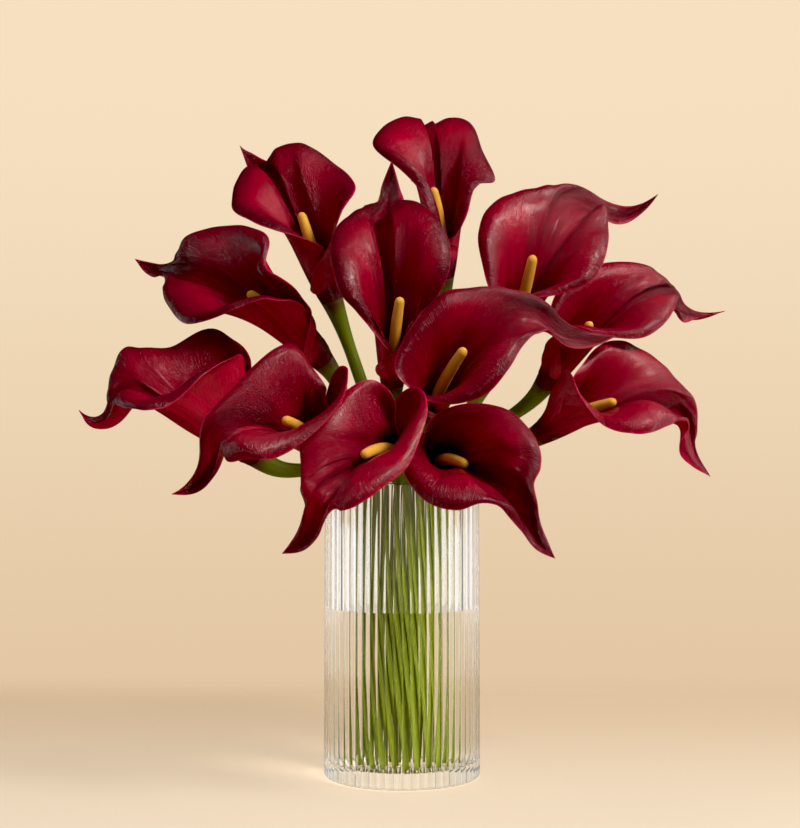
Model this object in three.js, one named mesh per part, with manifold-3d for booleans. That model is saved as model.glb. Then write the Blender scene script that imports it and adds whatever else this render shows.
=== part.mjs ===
// A dozen calla lilies standing in a ribbed glass vase of water.
// Millimetres, +Z up. The origin is the middle of the vase's foot, on the table.
import * as THREE from 'three';
import { mergeVertices } from 'three/addons/utils/BufferGeometryUtils.js';
import Module from 'manifold-3d';

// ---- driving dimensions -------------------------------------------------------------------

const GAP = 0.3;                  // clearance between pieces that touch

const VASE_RADIUS = 50;           // over the ribs
const VASE_HEIGHT = 188;
const VASE_WALL = 4;              // behind a groove
const VASE_FLOOR = 9.5;           // thickness of the solid bottom
const RIB_COUNT = 60;
const RIB_DEPTH = 1.1;
const POINTS_PER_RIB = 2;
const FOOT_BEVEL = 1.6;
const INSIDE_SIDES = 72;
const WATER_LEVEL = 107;          // height of the water's surface

const STEM_RADIUS = 4.2;
const STEM_SIDES = 8;
const STEM_STEPS = 2;             // sections between two points of a stem's route
const NECK_SWELL = 3.2;           // how much thicker a stem is under its bloom
const NECK_LENGTH = 42;
const UNDER_BLOOM = 15;           // a stem runs straight into its bloom over this length
const WAIST_HEIGHT = 84;          // where the stems stand closest together
const OUTER_WAIST = 15.4;         // radius of the outer ring of stems at the waist
const INNER_WAIST = 5.7;
const OUTER_SPLAY = 22;           // sideways travel of an outer stem from the waist to the floor
const INNER_SPLAY = 8;
const TWIST_SHARE = 0.8;          // share of its splay by which a stem swings round the bundle
const ABOVE_WATER = 6;            // the stems run straight up to this height above the water

const BASE_RADIUS = 7.6;          // of a bloom's tube where it grows from the stem
const OVERLAP_OUT = 1.8;          // how far the outer margin stands off the tube
const OVERLAP_IN = 0.8;           // how far the inner margin is tucked in
const SHEET = 1.0;                // thickness of a spathe
const COLUMNS = 29;               // grid of a spathe, round the margin
const ROWS = 6;                   // and from the base to the margin
const PLUG_BOTTOM = -5;           // the solid base inside the tube, on the bloom's axis
const PLUG_TOP = 5;
const PLUG_TAPER = 0.4;           // how much narrower than the tube it is at the bottom
const PLUG_SWELL = 1.0;           // how much wider at the tube's base
const PLUG_MOUTH = 1.2;           // and at its top
const PLUG_SIDES = 12;
const BASE_LEAN = 0.16;           // how much a sheet already leans out at the base
const BASE_PULL = 0.45;           // share of its chord along which a sheet leaves the base
const RIM_PULL = 0.38;            // and along which it arrives at the margin
const LAP_ROW = 9;                // the row of the margin where the two sides start to lap
const LAP_SPAN = 3;               // and the rows over which they part
const TILT_START = 3;             // the two margins can stand unequally between these rows
const TILT_END = 12;
const TILT_IN = 2;                // and the rows over which that comes in
const TILT_OUT = 3;               // and goes out again

const LAST_ROW = 13;              // where a margin ends at the base, counted from the tip
const TAIL_ROOT = 12;             // how far before its root a tail starts to bend
const TAIL_STEPS = 40;
const DIVE_END = 0.5;             // share of the tail's length where its dive is complete
const CURL_START = 0.4;           // and where its curl begins

const SPADIX_LENGTH = 47;
const SPADIX_RADIUS = 3.5;
const SPADIX_SIDES = 8;

// One entry for each bloom. foot is the middle of the tube's base. aim is the way the tube
// points and tail the side its tip leans to, as directions. The rest is in the bloom's own
// frame, Z along aim and X towards tail: reach is how far the limb goes out before the tail
// starts, spread its half width, back and front the heights of the margin behind and in
// front, chin how far the front stands out, neck the tail's half width, pinch how far the
// sides draw in towards the front, length the tail's length. dive and curl pitch the tail
// down and then up again, sway and hook turn it sideways, in degrees. lift and slant raise
// and push out the +Y margin over the -Y one. lap is the margin that lies outside where
// they cross, 1 for +Y. ring and turn place the stem in the vase: 'outer' or 'inner', and
// degrees round the axis. over is where the stem passes the vase's rim. spadix is how far
// the spadix's tip leans along X and Y. moved shifts single rows of the margin: the row,
// negative on the -Y side, and how far it goes right, back and up in the bouquet's frame.
const BLOOMS = [
  {
    foot: [-49, 28, 315], aim: [-0.35, -0.24, 0.91], tail: [-0.37, 0.93, 0.09], size: 1.08,
    reach: 44, spread: 33, back: 90, front: 32, chin: 30, neck: 11, pinch: -0.5, length: 50,
    dive: 12, curl: -86, sway: -7, hook: 3, lift: -4, slant: -3, lap: -1,
    ring: 'outer', turn: 101, over: [-8, 33, 190], spadix: [5, -3],
    moved: [[-11, 2, 0, -1], [-10, 0, 0, 7], [-9, 4, 0, 4], [-8, 5, 0, -2], [-6, 0, 0, 2],
      [-5, -3, 0, 1], [-4, -3, 0, -2], [-2, 4, 0, 5], [-1, 3, 0, 4], [0, 2, 0, 1],
      [1, 6, 0, 6], [2, 7, 0, 7], [3, 5, 0, 4], [4, 6, 0, 4], [5, 6, 0, 4], [6, 4, 0, -2],
      [7, 1, 0, -8], [8, 6, 0, -4], [9, 6, 0, 0], [11, -1, 0, -2]],
  },
  {
    foot: [29, 58, 336], aim: [-0.02, -0.50, 0.86], tail: [-0.23, 0.84, 0.49], size: 1.06,
    reach: 68, spread: 39, back: 82, front: 31, chin: 15, neck: 9, pinch: 1.3, length: 50,
    dive: 84, curl: -8, sway: 4, hook: 2, lift: 3, slant: -1, lap: -1,
    ring: 'inner', turn: 135, over: [0, 20, 190], spadix: [11, 4],
    moved: [[-11, 4, 0, -1], [-10, -3, 0, 6], [-9, 5, 0, 10], [-8, 6, 0, -4],
      [-7, -5, 0, -1], [-6, 2, 0, 3], [-5, 3, 0, 2], [-4, 3, 0, -2], [-3, 5, 0, 1],
      [4, 10, 0, 2], [5, 7, 0, 3], [6, 4, 0, 2], [7, -1, 0, 2], [8, 2, 0, 6], [9, -1, 0, 7],
      [10, 5, 0, 3], [11, -1, 0, -6]],
  },
  {
    foot: [-6, -20, 255], aim: [0.03, -0.56, 0.83], tail: [-0.23, 0.81, 0.55], size: 1.04,
    reach: 62, spread: 35, back: 86, front: 26, chin: 10, neck: 8, pinch: 0.2, length: 58,
    dive: 26, curl: -105, sway: -25, hook: 2, lift: -6, slant: 1, lap: -1,
    ring: 'inner', turn: 255, over: [-3, -14, 190], spadix: [3, -4],
    moved: [[-11, 4, 0, 4], [-10, -1, 0, 10], [-9, 1, 0, 5], [-8, 1, 0, 5], [-7, 1, 0, 3],
      [-6, 0, 0, 3], [-5, 1, 0, 3], [-3, 8, 0, 1], [-2, 11, 0, 3], [-1, 7, 0, 0],
      [0, 4, 0, 2], [1, 2, 0, 0], [2, 4, 0, 1], [4, 1, 0, 2], [7, 0, 0, 3], [9, 0, 0, 2],
      [10, -2, 0, 4], [11, -3, 0, -3]],
  },
  {
    foot: [74, 12, 287], aim: [0.16, -0.72, 0.68], tail: [0.42, 0.66, 0.61], size: 1.09,
    reach: 61, spread: 39, back: 66, front: 34, chin: 20, neck: 13, pinch: 0.3, length: 66,
    dive: 37, curl: -98, sway: -60, hook: 2, lift: 0, slant: -2, lap: -1,
    ring: 'inner', turn: 15, over: [18, 4, 190], spadix: [8, 3],
    moved: [[-11, 0, 0, 2], [-10, -3, 0, 9], [-9, 0, 0, 6], [-8, 1, 0, 3], [-7, -3, 0, 5],
      [-6, -3, 0, 3], [-5, 2, 0, 5], [-4, 6, 0, 2], [-3, 4, 0, -3], [-2, 3, 0, -3],
      [2, -1, 0, 3], [3, -1, 0, 2], [4, 2, 0, 3], [6, -2, 0, 0], [7, -1, 0, 2],
      [8, 0, 0, 3], [9, 0, 0, 3]],
  },
  {
    foot: [-56, 15, 272], aim: [-0.54, -0.56, 0.63], tail: [-0.66, 0.74, 0.10], size: 1.15,
    reach: 70, spread: 34, back: 75, front: 42, chin: 23, neck: 9, pinch: 1.3, length: 48,
    dive: 18, curl: -48, sway: -5, hook: -4, lift: -6, slant: -1, lap: -1,
    ring: 'outer', turn: 141, over: [-26, 21, 190], spadix: [15, 1],
    moved: [[-12, 6, 0, 5], [-11, 7, 0, -3], [-10, -9, 0, -5], [-9, -16, 0, 3],
      [-8, -3, 0, 2], [-7, 0, 0, -2], [-6, 2, 0, 0], [-5, -1, 0, 3], [-4, -3, 0, 2],
      [7, -3, 0, -2], [8, -4, 0, 2], [9, -10, 0, 4], [10, -3, 0, 11], [11, 5, 0, -1],
      [12, -4, 0, -5]],
  },
  {
    foot: [100, 37, 258], aim: [0.46, -0.57, 0.68], tail: [0.78, 0.62, 0.00], size: 1.02,
    reach: 59, spread: 33, back: 84, front: 38, chin: 22, neck: 10, pinch: -0.2, length: 62,
    dive: 44, curl: -84, sway: 4, hook: -18, lift: 1, slant: 3, lap: -1,
    ring: 'outer', turn: 61, over: [22, 28, 190], spadix: [-2, -3],
    moved: [[-11, 1, 0, 2], [-10, 5, 0, 10], [-9, 5, 0, 6], [-8, 7, 0, 1], [-7, 3, 0, 3],
      [-6, -4, 0, 7], [-5, -6, 0, 8], [-4, -7, 0, 1], [-3, -11, 0, -2], [-2, -7, 0, -3],
      [-1, -5, 0, 2], [2, 0, 0, 2], [3, -2, 0, 2], [5, -3, 0, 1]],
  },
  {
    foot: [19, -28, 234], aim: [0.20, -0.81, 0.56], tail: [0.82, 0.45, 0.36], size: 1.06,
    reach: 48, spread: 34, back: 70, front: 31, chin: 24, neck: 16, pinch: -0.1, length: 73,
    dive: 47, curl: -54, sway: -33, hook: 15, lift: -1, slant: 3, lap: 1,
    ring: 'outer', turn: 341, over: [27, -10, 188], spadix: [9, 0],
    moved: [[-11, -2, 0, 1], [-10, 3, 0, 1], [-9, 3, 0, 1], [-7, -3, 0, 3], [-6, -7, 0, 2],
      [-5, -3, 0, 2], [-4, 3, 0, 0], [-3, 0, 0, -2], [-2, 0, 0, -2], [5, -4, 0, -2],
      [6, -6, 0, -2], [7, -4, 0, -1], [8, -1, 0, -1], [10, -2, 0, 1]],
  },
  {
    foot: [-98, -5, 208], aim: [-0.70, -0.41, 0.59], tail: [-0.66, 0.05, -0.75], size: 1.2,
    reach: 24, spread: 36, back: 80, front: 40, chin: 42, neck: 12, pinch: 0.1, length: 25,
    dive: 36, curl: -136, sway: 7, hook: -12, lift: -2, slant: 11, lap: 1,
    ring: 'outer', turn: 181, over: [-36, 0, 192], spadix: [0, 0],
    moved: [[-11, 7, 0, -2], [-10, -3, 0, -3], [-9, 2, 0, 5], [-8, 10, 0, 3], [-7, 2, 0, 0],
      [-6, 1, 0, 5], [5, 1, 0, 3], [6, 2, 0, 2], [7, 5, 0, 0], [8, 8, 0, 3], [9, -6, 0, -4],
      [10, -10, 0, -8], [11, 1, 0, -2]],
  },
  {
    foot: [-47, -37, 205], aim: [-0.32, -0.81, 0.49], tail: [-0.84, 0.00, -0.54], size: 1.06,
    reach: 39, spread: 35, back: 76, front: 36, chin: 28, neck: 12, pinch: -0.2, length: 54,
    dive: 54, curl: -105, sway: 28, hook: -7, lift: 7, slant: 30, lap: 1,
    ring: 'outer', turn: 221, over: [-28, -25, 194], spadix: [8, 4],
    moved: [[-11, -8, 0, 1], [-10, -6, 0, -5], [-9, -1, 0, -7], [-8, 3, 0, -2],
      [-5, -3, 0, -2], [-4, -4, 0, -3], [6, 2, 0, 5], [7, 7, 0, 3], [8, 6, 0, 3],
      [9, -5, -7, 2], [10, -5, -19, 5], [11, 4, -24, 17], [12, 3, -18, 22]],
  },
  {
    foot: [93, -5, 221], aim: [0.73, -0.52, 0.45], tail: [0.69, 0.54, -0.49], size: 1.01,
    reach: 48, spread: 44, back: 81, front: 35, chin: 18, neck: 9, pinch: 0, length: 45,
    dive: 38, curl: -30, sway: -66, hook: 50, lift: -8, slant: -1, lap: -1,
    ring: 'outer', turn: 21, over: [34, 12, 190], spadix: [4, -6],
    moved: [[-12, 1, 0, 14], [-11, 0, 0, 12], [-10, 1, 0, 4], [-9, -2, 0, -3],
      [-8, -8, 0, -1], [-7, -15, 0, 3], [-6, -16, 0, 8], [-5, -9, 0, 2], [-4, -3, 0, -2],
      [-3, -1, 0, -2], [-2, -5, 0, -3], [0, 5, 0, 1], [1, 2, 0, 1], [4, 2, 0, 3],
      [5, -1, 0, 3], [8, 2, 0, 1], [9, 3, 0, 1], [10, 3, 0, 0], [11, 0, 0, 8],
      [12, 0, 0, 8]],
  },
  {
    foot: [-2, -60, 206], aim: [-0.36, -0.91, 0.14], tail: [-0.39, 0.07, -0.92], size: 0.99,
    reach: 43, spread: 34, back: 81, front: 21, chin: 39, neck: 12, pinch: -0.4, length: 46,
    dive: 43, curl: -42, sway: -7, hook: -34, lift: 4, slant: 2, lap: 1,
    ring: 'outer', turn: 261, over: [5, -30, 190], spadix: [10, 3],
    moved: [[-12, -12, 0, 4], [-11, -9, 0, -1], [-10, -9, 4, -2], [-9, 0, 3, -2],
      [-8, 3, 3, -1], [-7, 2, 10, -3], [-6, 6, 4, 0], [-5, 4, 0, 0], [-3, 3, 0, 0],
      [9, -3, 0, 2], [10, -2, 0, -1], [11, 0, 0, 4], [12, 1, 0, 6]],
  },
  {
    foot: [22, -46, 199], aim: [0.14, -0.97, 0.18], tail: [0.70, 0.00, -0.71], size: 1.0,
    reach: 45, spread: 36, back: 84, front: 27, chin: 21, neck: 10, pinch: 0, length: 42,
    dive: 12, curl: -30, sway: -29, hook: 26, lift: 3, slant: 3, lap: -1,
    ring: 'outer', turn: 301, over: [19, -20, 184], spadix: [13, -2],
    moved: [[-8, -2, 0, 1], [-7, -3, 0, -1], [-6, -6, 0, 1], [-5, -6, 0, 2],
      [-4, -4, 0, -1], [-3, -3, 0, -1], [5, -1, 0, 3], [6, -3, 0, 0], [7, -1, 0, -3]],
  },
];

// ---- solids -------------------------------------------------------------------------------

const wasm = await Module();
wasm.setup();

// A closed three.js geometry as a solid that can be joined and cut.
function solidOf(geometry) {
  const bare = geometry.clone();
  bare.deleteAttribute('normal');
  bare.deleteAttribute('uv');
  const merged = mergeVertices(bare, 1e-4);
  const vertProperties = new Float32Array(merged.attributes.position.array);
  const triVerts = new Uint32Array(merged.index.array);
  return new wasm.Manifold(new wasm.Mesh({ numProp: 3, vertProperties, triVerts }));
}

function geometryOf(solid) {
  const mesh = solid.getMesh();
  const geometry = new THREE.BufferGeometry();
  geometry.setAttribute('position', new THREE.BufferAttribute(mesh.vertProperties, 3));
  geometry.setIndex(new THREE.BufferAttribute(mesh.triVerts, 1));
  return geometry;
}

function indexedGeometry(points, triangles) {
  const geometry = new THREE.BufferGeometry();
  geometry.setFromPoints(points);
  geometry.setIndex(triangles);
  return geometry;
}

// A closed skin over rings of points, with a fan on each end.
function loft(rings) {
  const sides = rings[0].length;
  const points = rings.flat();
  const triangles = [];
  for (let r = 0; r + 1 < rings.length; r += 1) {
    for (let s = 0; s < sides; s += 1) {
      const a = r * sides + s;
      const b = r * sides + (s + 1) % sides;
      triangles.push(a, b, b + sides, a, b + sides, a + sides);
    }
  }
  const top = (rings.length - 1) * sides;
  for (let s = 1; s + 1 < sides; s += 1) {
    triangles.push(0, s + 1, s, top, top + s, top + s + 1);
  }
  return indexedGeometry(points, triangles);
}

// Rings of a round tube that follows centres, square to the path or to the given ends.
function tubeRings(centres, radii, sides, startAxis, endAxis) {
  const last = centres.length - 1;
  let across = new THREE.Vector3(1, 0, 0);
  return centres.map((centre, i) => {
    const before = centres[Math.max(i - 1, 0)];
    const after = centres[Math.min(i + 1, last)];
    const along = after.clone().sub(before).normalize();
    if (i === 0 && startAxis) along.copy(startAxis);
    if (i === last && endAxis) along.copy(endAxis);
    across = across.clone().addScaledVector(along, -across.dot(along)).normalize();
    const third = along.clone().cross(across);
    const ring = [];
    for (let s = 0; s < sides; s += 1) {
      const angle = (s / sides) * 2 * Math.PI;
      const point = centre.clone();
      point.addScaledVector(across, radii[i] * Math.cos(angle));
      point.addScaledVector(third, radii[i] * Math.sin(angle));
      ring.push(point);
    }
    return ring;
  });
}

// ---- vase and water -----------------------------------------------------------------------

function insideRadius() {
  return VASE_RADIUS - RIB_DEPTH - VASE_WALL;
}

function vaseGeometry() {
  const outline = [];
  const count = RIB_COUNT * POINTS_PER_RIB;
  for (let i = 0; i < count; i += 1) {
    const angle = (i / count) * 2 * Math.PI;
    const groove = i % POINTS_PER_RIB === 0;
    const radius = groove ? VASE_RADIUS - RIB_DEPTH : VASE_RADIUS;
    outline.push(new THREE.Vector2(radius * Math.cos(angle), radius * Math.sin(angle)));
  }
  const body = new THREE.ExtrudeGeometry(new THREE.Shape(outline), {
    depth: VASE_HEIGHT - 2 * FOOT_BEVEL,
    bevelThickness: FOOT_BEVEL,
    bevelSize: FOOT_BEVEL,
    bevelOffset: -FOOT_BEVEL,
    bevelSegments: 1,
  });
  body.translate(0, 0, FOOT_BEVEL);
  const inside = new THREE.CylinderGeometry(
    insideRadius(), insideRadius(), VASE_HEIGHT, INSIDE_SIDES);
  inside.rotateX(Math.PI / 2);
  inside.translate(0, 0, VASE_FLOOR + VASE_HEIGHT / 2);
  return geometryOf(solidOf(body).subtract(solidOf(inside)));
}

function waterGeometry() {
  const bottom = VASE_FLOOR + GAP;
  const depth = WATER_LEVEL - bottom;
  const radius = insideRadius() - GAP;
  const body = new THREE.CylinderGeometry(radius, radius, depth, INSIDE_SIDES / 2);
  body.rotateX(Math.PI / 2);
  body.translate(0, 0, bottom + depth / 2);
  let water = solidOf(body);
  for (const bloom of BLOOMS) {
    const hole = solidOf(loft(stemRings(bloom, GAP / Math.cos(Math.PI / STEM_SIDES), 2)));
    water = water.subtract(hole);
  }
  return geometryOf(water);
}

// ---- stems --------------------------------------------------------------------------------

function axisOf(bloom) {
  return new THREE.Vector3(...bloom.aim).normalize();
}

// A bloom's own X, Y and Z in the bouquet's frame: towards its tail, across, along its tube.
function headAxes(bloom) {
  const axis = axisOf(bloom);
  const lean = new THREE.Vector3(...bloom.tail);
  lean.addScaledVector(axis, -lean.dot(axis)).normalize();
  return [lean, axis.clone().cross(lean), axis];
}

// The route of a stem: straight through the waist of the bundle, past the rim, to the bloom.
function stemRoute(bloom) {
  const inner = bloom.ring === 'inner';
  const waist = inner ? INNER_WAIST : OUTER_WAIST;
  const splay = inner ? INNER_SPLAY : OUTER_SPLAY;
  const twist = Math.atan2(TWIST_SHARE * splay, waist);
  const angle = THREE.MathUtils.degToRad(bloom.turn) - twist;
  const radial = new THREE.Vector3(Math.cos(angle), Math.sin(angle), 0);
  const around = new THREE.Vector3(-Math.sin(angle), Math.cos(angle), 0);
  const floor = VASE_FLOOR + GAP;
  const at = (height) => {
    const travel = splay * (height - WAIST_HEIGHT) / (WAIST_HEIGHT - floor);
    const point = radial.clone().multiplyScalar(waist);
    point.addScaledVector(around, travel);
    point.z = height;
    return point;
  };
  const axis = axisOf(bloom);
  const top = new THREE.Vector3(...bloom.foot);
  top.addScaledVector(axis, PLUG_BOTTOM * bloom.size - GAP);
  const under = top.clone().addScaledVector(axis, -UNDER_BLOOM);
  const over = new THREE.Vector3(...bloom.over);
  return [at(floor), at(WATER_LEVEL + ABOVE_WATER), over, under, top];
}

function stemRings(bloom, swell, below) {
  const route = stemRoute(bloom);
  const curve = new THREE.CatmullRomCurve3(route, false, 'centripetal');
  const centres = [route[0]];
  const spans = route.length - 1;
  for (let i = STEM_STEPS; i <= spans * STEM_STEPS; i += 1) {
    centres.push(curve.getPoint(i / (spans * STEM_STEPS)));
  }
  const steps = centres.length - 1;
  const lengths = [0];
  for (let i = 1; i <= steps; i += 1) {
    lengths.push(lengths[i - 1] + centres[i].distanceTo(centres[i - 1]));
  }
  const radii = lengths.map((length) => {
    const left = (lengths[steps] - length) / NECK_LENGTH;
    const near = Math.max(0, 1 - left);
    return STEM_RADIUS + NECK_SWELL * near * near * bloom.size + swell;
  });
  const slope = centres[1].clone().sub(centres[0]);
  centres[0].addScaledVector(slope, -below / slope.z);
  return tubeRings(centres, radii, STEM_SIDES, new THREE.Vector3(0, 0, 1), axisOf(bloom));
}

// ---- blooms -------------------------------------------------------------------------------

function smooth(value) {
  const t = Math.min(Math.max(value, 0), 1);
  return t * t * (3 - 2 * t);
}

// Catmull-Rom through rows of numbers, at a place counted in rows.
function between(rows, place) {
  const last = rows.length - 1;
  const i = Math.min(Math.floor(place), last - 1);
  const t = place - i;
  return rows[i].map((value, k) => {
    const next = rows[i + 1][k];
    const before = i > 0 ? rows[i - 1][k] : 2 * value - next;
    const after = i + 2 <= last ? rows[i + 2][k] : 2 * next - value;
    const slope = (next - before) * t;
    const bend = (2 * before - 5 * value + 4 * next - after) * t * t;
    const turn = (3 * value - before - 3 * next + after) * t * t * t;
    return value + 0.5 * (slope + bend + turn);
  });
}

// One margin from the tip of the tail to where it ends at the base, as rows of
// x, y, z, how far the sheet flares from the axis there, and the angle round the base.
function halfMargin(bloom) {
  const { reach, spread, back, front, chin, neck, pinch, length } = bloom;
  const drop = back - front;
  return [
    [reach + length, 0, back, 88, 0],
    [reach + 0.75 * length, 0.40 * neck, back, 88, 4],
    [reach + 0.50 * length, 0.56 * neck, back, 88, 7],
    [reach + 0.25 * length, 0.71 * neck, back, 88, 11],
    [reach, neck, back, 88, 14],
    [0.93 * reach, 0.70 * neck + 0.30 * spread, back + 1, 90, 28],
    [0.75 * reach, 0.80 * spread, back - 0.02 * drop, 96, 48],
    [0.38 * reach, spread, back - 0.14 * drop, 102, 72],
    [0.02 * reach, (0.98 - 0.16 * pinch) * spread, back - 0.36 * drop, 104, 98],
    [-0.68 * chin, (0.72 - 0.28 * pinch) * spread, back - 0.62 * drop, 98, 124],
    [-chin, 0.34 * spread, back - 0.84 * drop, 72, 152],
    [-0.80 * chin, 0, front, 40, 180],
    [-0.45 * chin, -8, 0.55 * front, 18, 215],
    [0, -9, 6, 10, 250],
  ];
}

// The whole margin, from the end of the -Y side over the tip to the end of the +Y side.
function wholeMargin(bloom) {
  const half = halfMargin(bloom);
  const shaped = (row, i, side) => {
    const [x, y, z, flare, angle] = row;
    const up = smooth((z - bloom.front) / (bloom.back - bloom.front));
    const limb = up * smooth((TILT_END - i) / TILT_OUT) * smooth((i - TILT_START) / TILT_IN);
    const tilt = side * limb * y / bloom.spread;
    return [x + bloom.slant * tilt, side * y, z + bloom.lift * tilt, flare, side * angle];
  };
  const minus = half.map((row, i) => shaped(row, i, -1)).reverse();
  const plus = half.map((row, i) => shaped(row, i, 1)).slice(1);
  return minus.concat(plus);
}

// How far each row of the margin is moved, in the bloom's own frame.
function marginMoves(bloom) {
  const axes = headAxes(bloom);
  const moves = Array.from({ length: 2 * LAST_ROW + 1 }, () => [0, 0, 0]);
  for (const [row, ...shift] of bloom.moved) {
    const move = new THREE.Vector3(...shift).divideScalar(bloom.size);
    moves[LAST_ROW + row] = axes.map((axis) => axis.dot(move));
  }
  return moves;
}

// Bends whatever lies past the root of the tail along the tail's curved spine.
function tailBender(bloom) {
  const rootX = bloom.reach - TAIL_ROOT;
  const total = TAIL_ROOT + bloom.length;
  const frames = [];
  const place = new THREE.Vector3(rootX, 0, bloom.back);
  let lastAlong = null;
  for (let i = 0; i <= TAIL_STEPS; i += 1) {
    const f = i / TAIL_STEPS;
    const first = smooth(f / DIVE_END);
    const second = smooth((f - CURL_START) / (1 - CURL_START));
    const pitch = THREE.MathUtils.degToRad(bloom.dive * first + bloom.curl * second);
    const yaw = THREE.MathUtils.degToRad(bloom.sway * first + bloom.hook * second);
    const along = new THREE.Vector3(
      Math.cos(pitch) * Math.cos(yaw), Math.cos(pitch) * Math.sin(yaw), -Math.sin(pitch));
    const up = new THREE.Vector3(
      Math.sin(pitch) * Math.cos(yaw), Math.sin(pitch) * Math.sin(yaw), Math.cos(pitch));
    if (lastAlong) place.addScaledVector(lastAlong.add(along), total / TAIL_STEPS / 2);
    frames.push({ place: place.clone(), up, side: up.clone().cross(along) });
    lastAlong = along.clone();
  }
  return (point) => {
    if (point.x <= rootX) return point;
    const at = Math.min((point.x - rootX) / total, 1) * TAIL_STEPS;
    const i = Math.min(Math.floor(at), TAIL_STEPS - 1);
    const blend = (key) => frames[i][key].clone().lerp(frames[i + 1][key], at - i);
    const bent = blend('place');
    bent.addScaledVector(blend('up'), point.z - bloom.back);
    return bent.addScaledVector(blend('side'), point.y);
  };
}

// One line of the spathe's middle surface, from the base to the margin.
function generatorCurve(bloom, marginRow, place) {
  const [x, y, z, flare, angle] = marginRow;
  const outside = Math.sign(place) === bloom.lap;
  const lapped = smooth((Math.abs(place) - LAP_ROW) / LAP_SPAN);
  const off = lapped * (outside ? OVERLAP_OUT : -OVERLAP_IN);
  const away = new THREE.Vector2(x, y).normalize();
  const leaving = THREE.MathUtils.degToRad(flare);
  const turned = THREE.MathUtils.degToRad(angle);
  const ring = new THREE.Vector2(Math.cos(turned), Math.sin(turned));
  const start = new THREE.Vector3(ring.x, ring.y, 0).multiplyScalar(BASE_RADIUS + off);
  const end = new THREE.Vector3(x + away.x * off, y + away.y * off, z);
  const chord = start.distanceTo(end);
  const rising = new THREE.Vector3(BASE_LEAN * ring.x, BASE_LEAN * ring.y, 1);
  const arriving = new THREE.Vector3(
    Math.sin(leaving) * away.x, Math.sin(leaving) * away.y, Math.cos(leaving));
  return new THREE.CubicBezierCurve3(
    start,
    start.clone().addScaledVector(rising, BASE_PULL * chord),
    end.clone().addScaledVector(arriving, -RIM_PULL * chord),
    end);
}

// Points of the spathe's middle surface: columns round the margin, rows up from the base.
function spatheGrid(bloom, columns, rows) {
  const margin = wholeMargin(bloom);
  const moves = marginMoves(bloom);
  const bend = tailBender(bloom);
  const grid = [];
  for (let c = 0; c < columns; c += 1) {
    const place = (c / (columns - 1)) * 2 * LAST_ROW;
    const curve = generatorCurve(bloom, between(margin, place), place - LAST_ROW);
    const move = new THREE.Vector3(...between(moves, place));
    grid.push(curve.getPoints(rows - 1).map((point, r) => {
      const t = r / (rows - 1);
      const pull = 3 * (1 - t) * t * t + t * t * t;
      return bend(point).addScaledVector(move, pull);
    }));
  }
  return grid;
}

// A sheet of even thickness about a grid of points, split alike on both faces.
function sheetGeometry(grid, thickness) {
  const columns = grid.length;
  const rows = grid[0].length;
  const outer = [];
  const inner = [];
  for (let c = 0; c < columns; c += 1) {
    for (let r = 0; r < rows; r += 1) {
      const ahead = grid[Math.min(c + 1, columns - 1)][r];
      const behind = grid[Math.max(c - 1, 0)][r];
      const above = grid[c][Math.min(r + 1, rows - 1)];
      const below = grid[c][Math.max(r - 1, 0)];
      const normal = ahead.clone().sub(behind).cross(above.clone().sub(below)).normalize();
      outer.push(grid[c][r].clone().addScaledVector(normal, thickness / 2));
      inner.push(grid[c][r].clone().addScaledVector(normal, -thickness / 2));
    }
  }
  const count = columns * rows;
  const triangles = [];
  const at = (c, r) => c * rows + r;
  for (let c = 0; c + 1 < columns; c += 1) {
    for (let r = 0; r + 1 < rows; r += 1) {
      const quad = [at(c, r), at(c + 1, r), at(c + 1, r + 1), at(c, r + 1)];
      triangles.push(quad[0], quad[1], quad[2], quad[0], quad[2], quad[3]);
      const far = quad.map((index) => index + count);
      triangles.push(far[0], far[2], far[1], far[0], far[3], far[2]);
    }
  }
  const edge = [];
  for (let c = 0; c + 1 < columns; c += 1) edge.push(at(c, 0));
  for (let r = 0; r + 1 < rows; r += 1) edge.push(at(columns - 1, r));
  for (let c = columns - 1; c > 0; c -= 1) edge.push(at(c, rows - 1));
  for (let r = rows - 1; r > 0; r -= 1) edge.push(at(0, r));
  edge.forEach((a, i) => {
    const b = edge[(i + 1) % edge.length];
    triangles.push(a, a + count, b + count, a, b + count, b);
  });
  return indexedGeometry(outer.concat(inner), triangles);
}

function spatheGeometry(bloom) {
  const sheet = sheetGeometry(spatheGrid(bloom, COLUMNS, ROWS), SHEET);
  const profile = [
    new THREE.Vector2(0, PLUG_BOTTOM),
    new THREE.Vector2(BASE_RADIUS - PLUG_TAPER, PLUG_BOTTOM),
    new THREE.Vector2(BASE_RADIUS + PLUG_SWELL, 0),
    new THREE.Vector2(BASE_RADIUS + PLUG_MOUTH, PLUG_TOP),
    new THREE.Vector2(0, PLUG_TOP),
  ];
  const plug = new THREE.LatheGeometry(profile, PLUG_SIDES);
  plug.rotateX(Math.PI / 2);
  return geometryOf(solidOf(sheet).add(solidOf(plug)));
}

function spadixGeometry(bloom) {
  const foot = PLUG_TOP + GAP;
  const shape = [[0, 0.9], [0.35, 1], [0.7, 0.94], [0.9, 0.84], [0.97, 0.6], [1, 0.25]];
  const centres = shape.map(([f]) => new THREE.Vector3(
    bloom.spadix[0] * f * f, bloom.spadix[1] * f * f, foot + SPADIX_LENGTH * f));
  const radii = shape.map(([, width]) => SPADIX_RADIUS * width);
  return loft(tubeRings(centres, radii, SPADIX_SIDES, new THREE.Vector3(0, 0, 1)));
}

// ---- the whole ----------------------------------------------------------------------------

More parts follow.
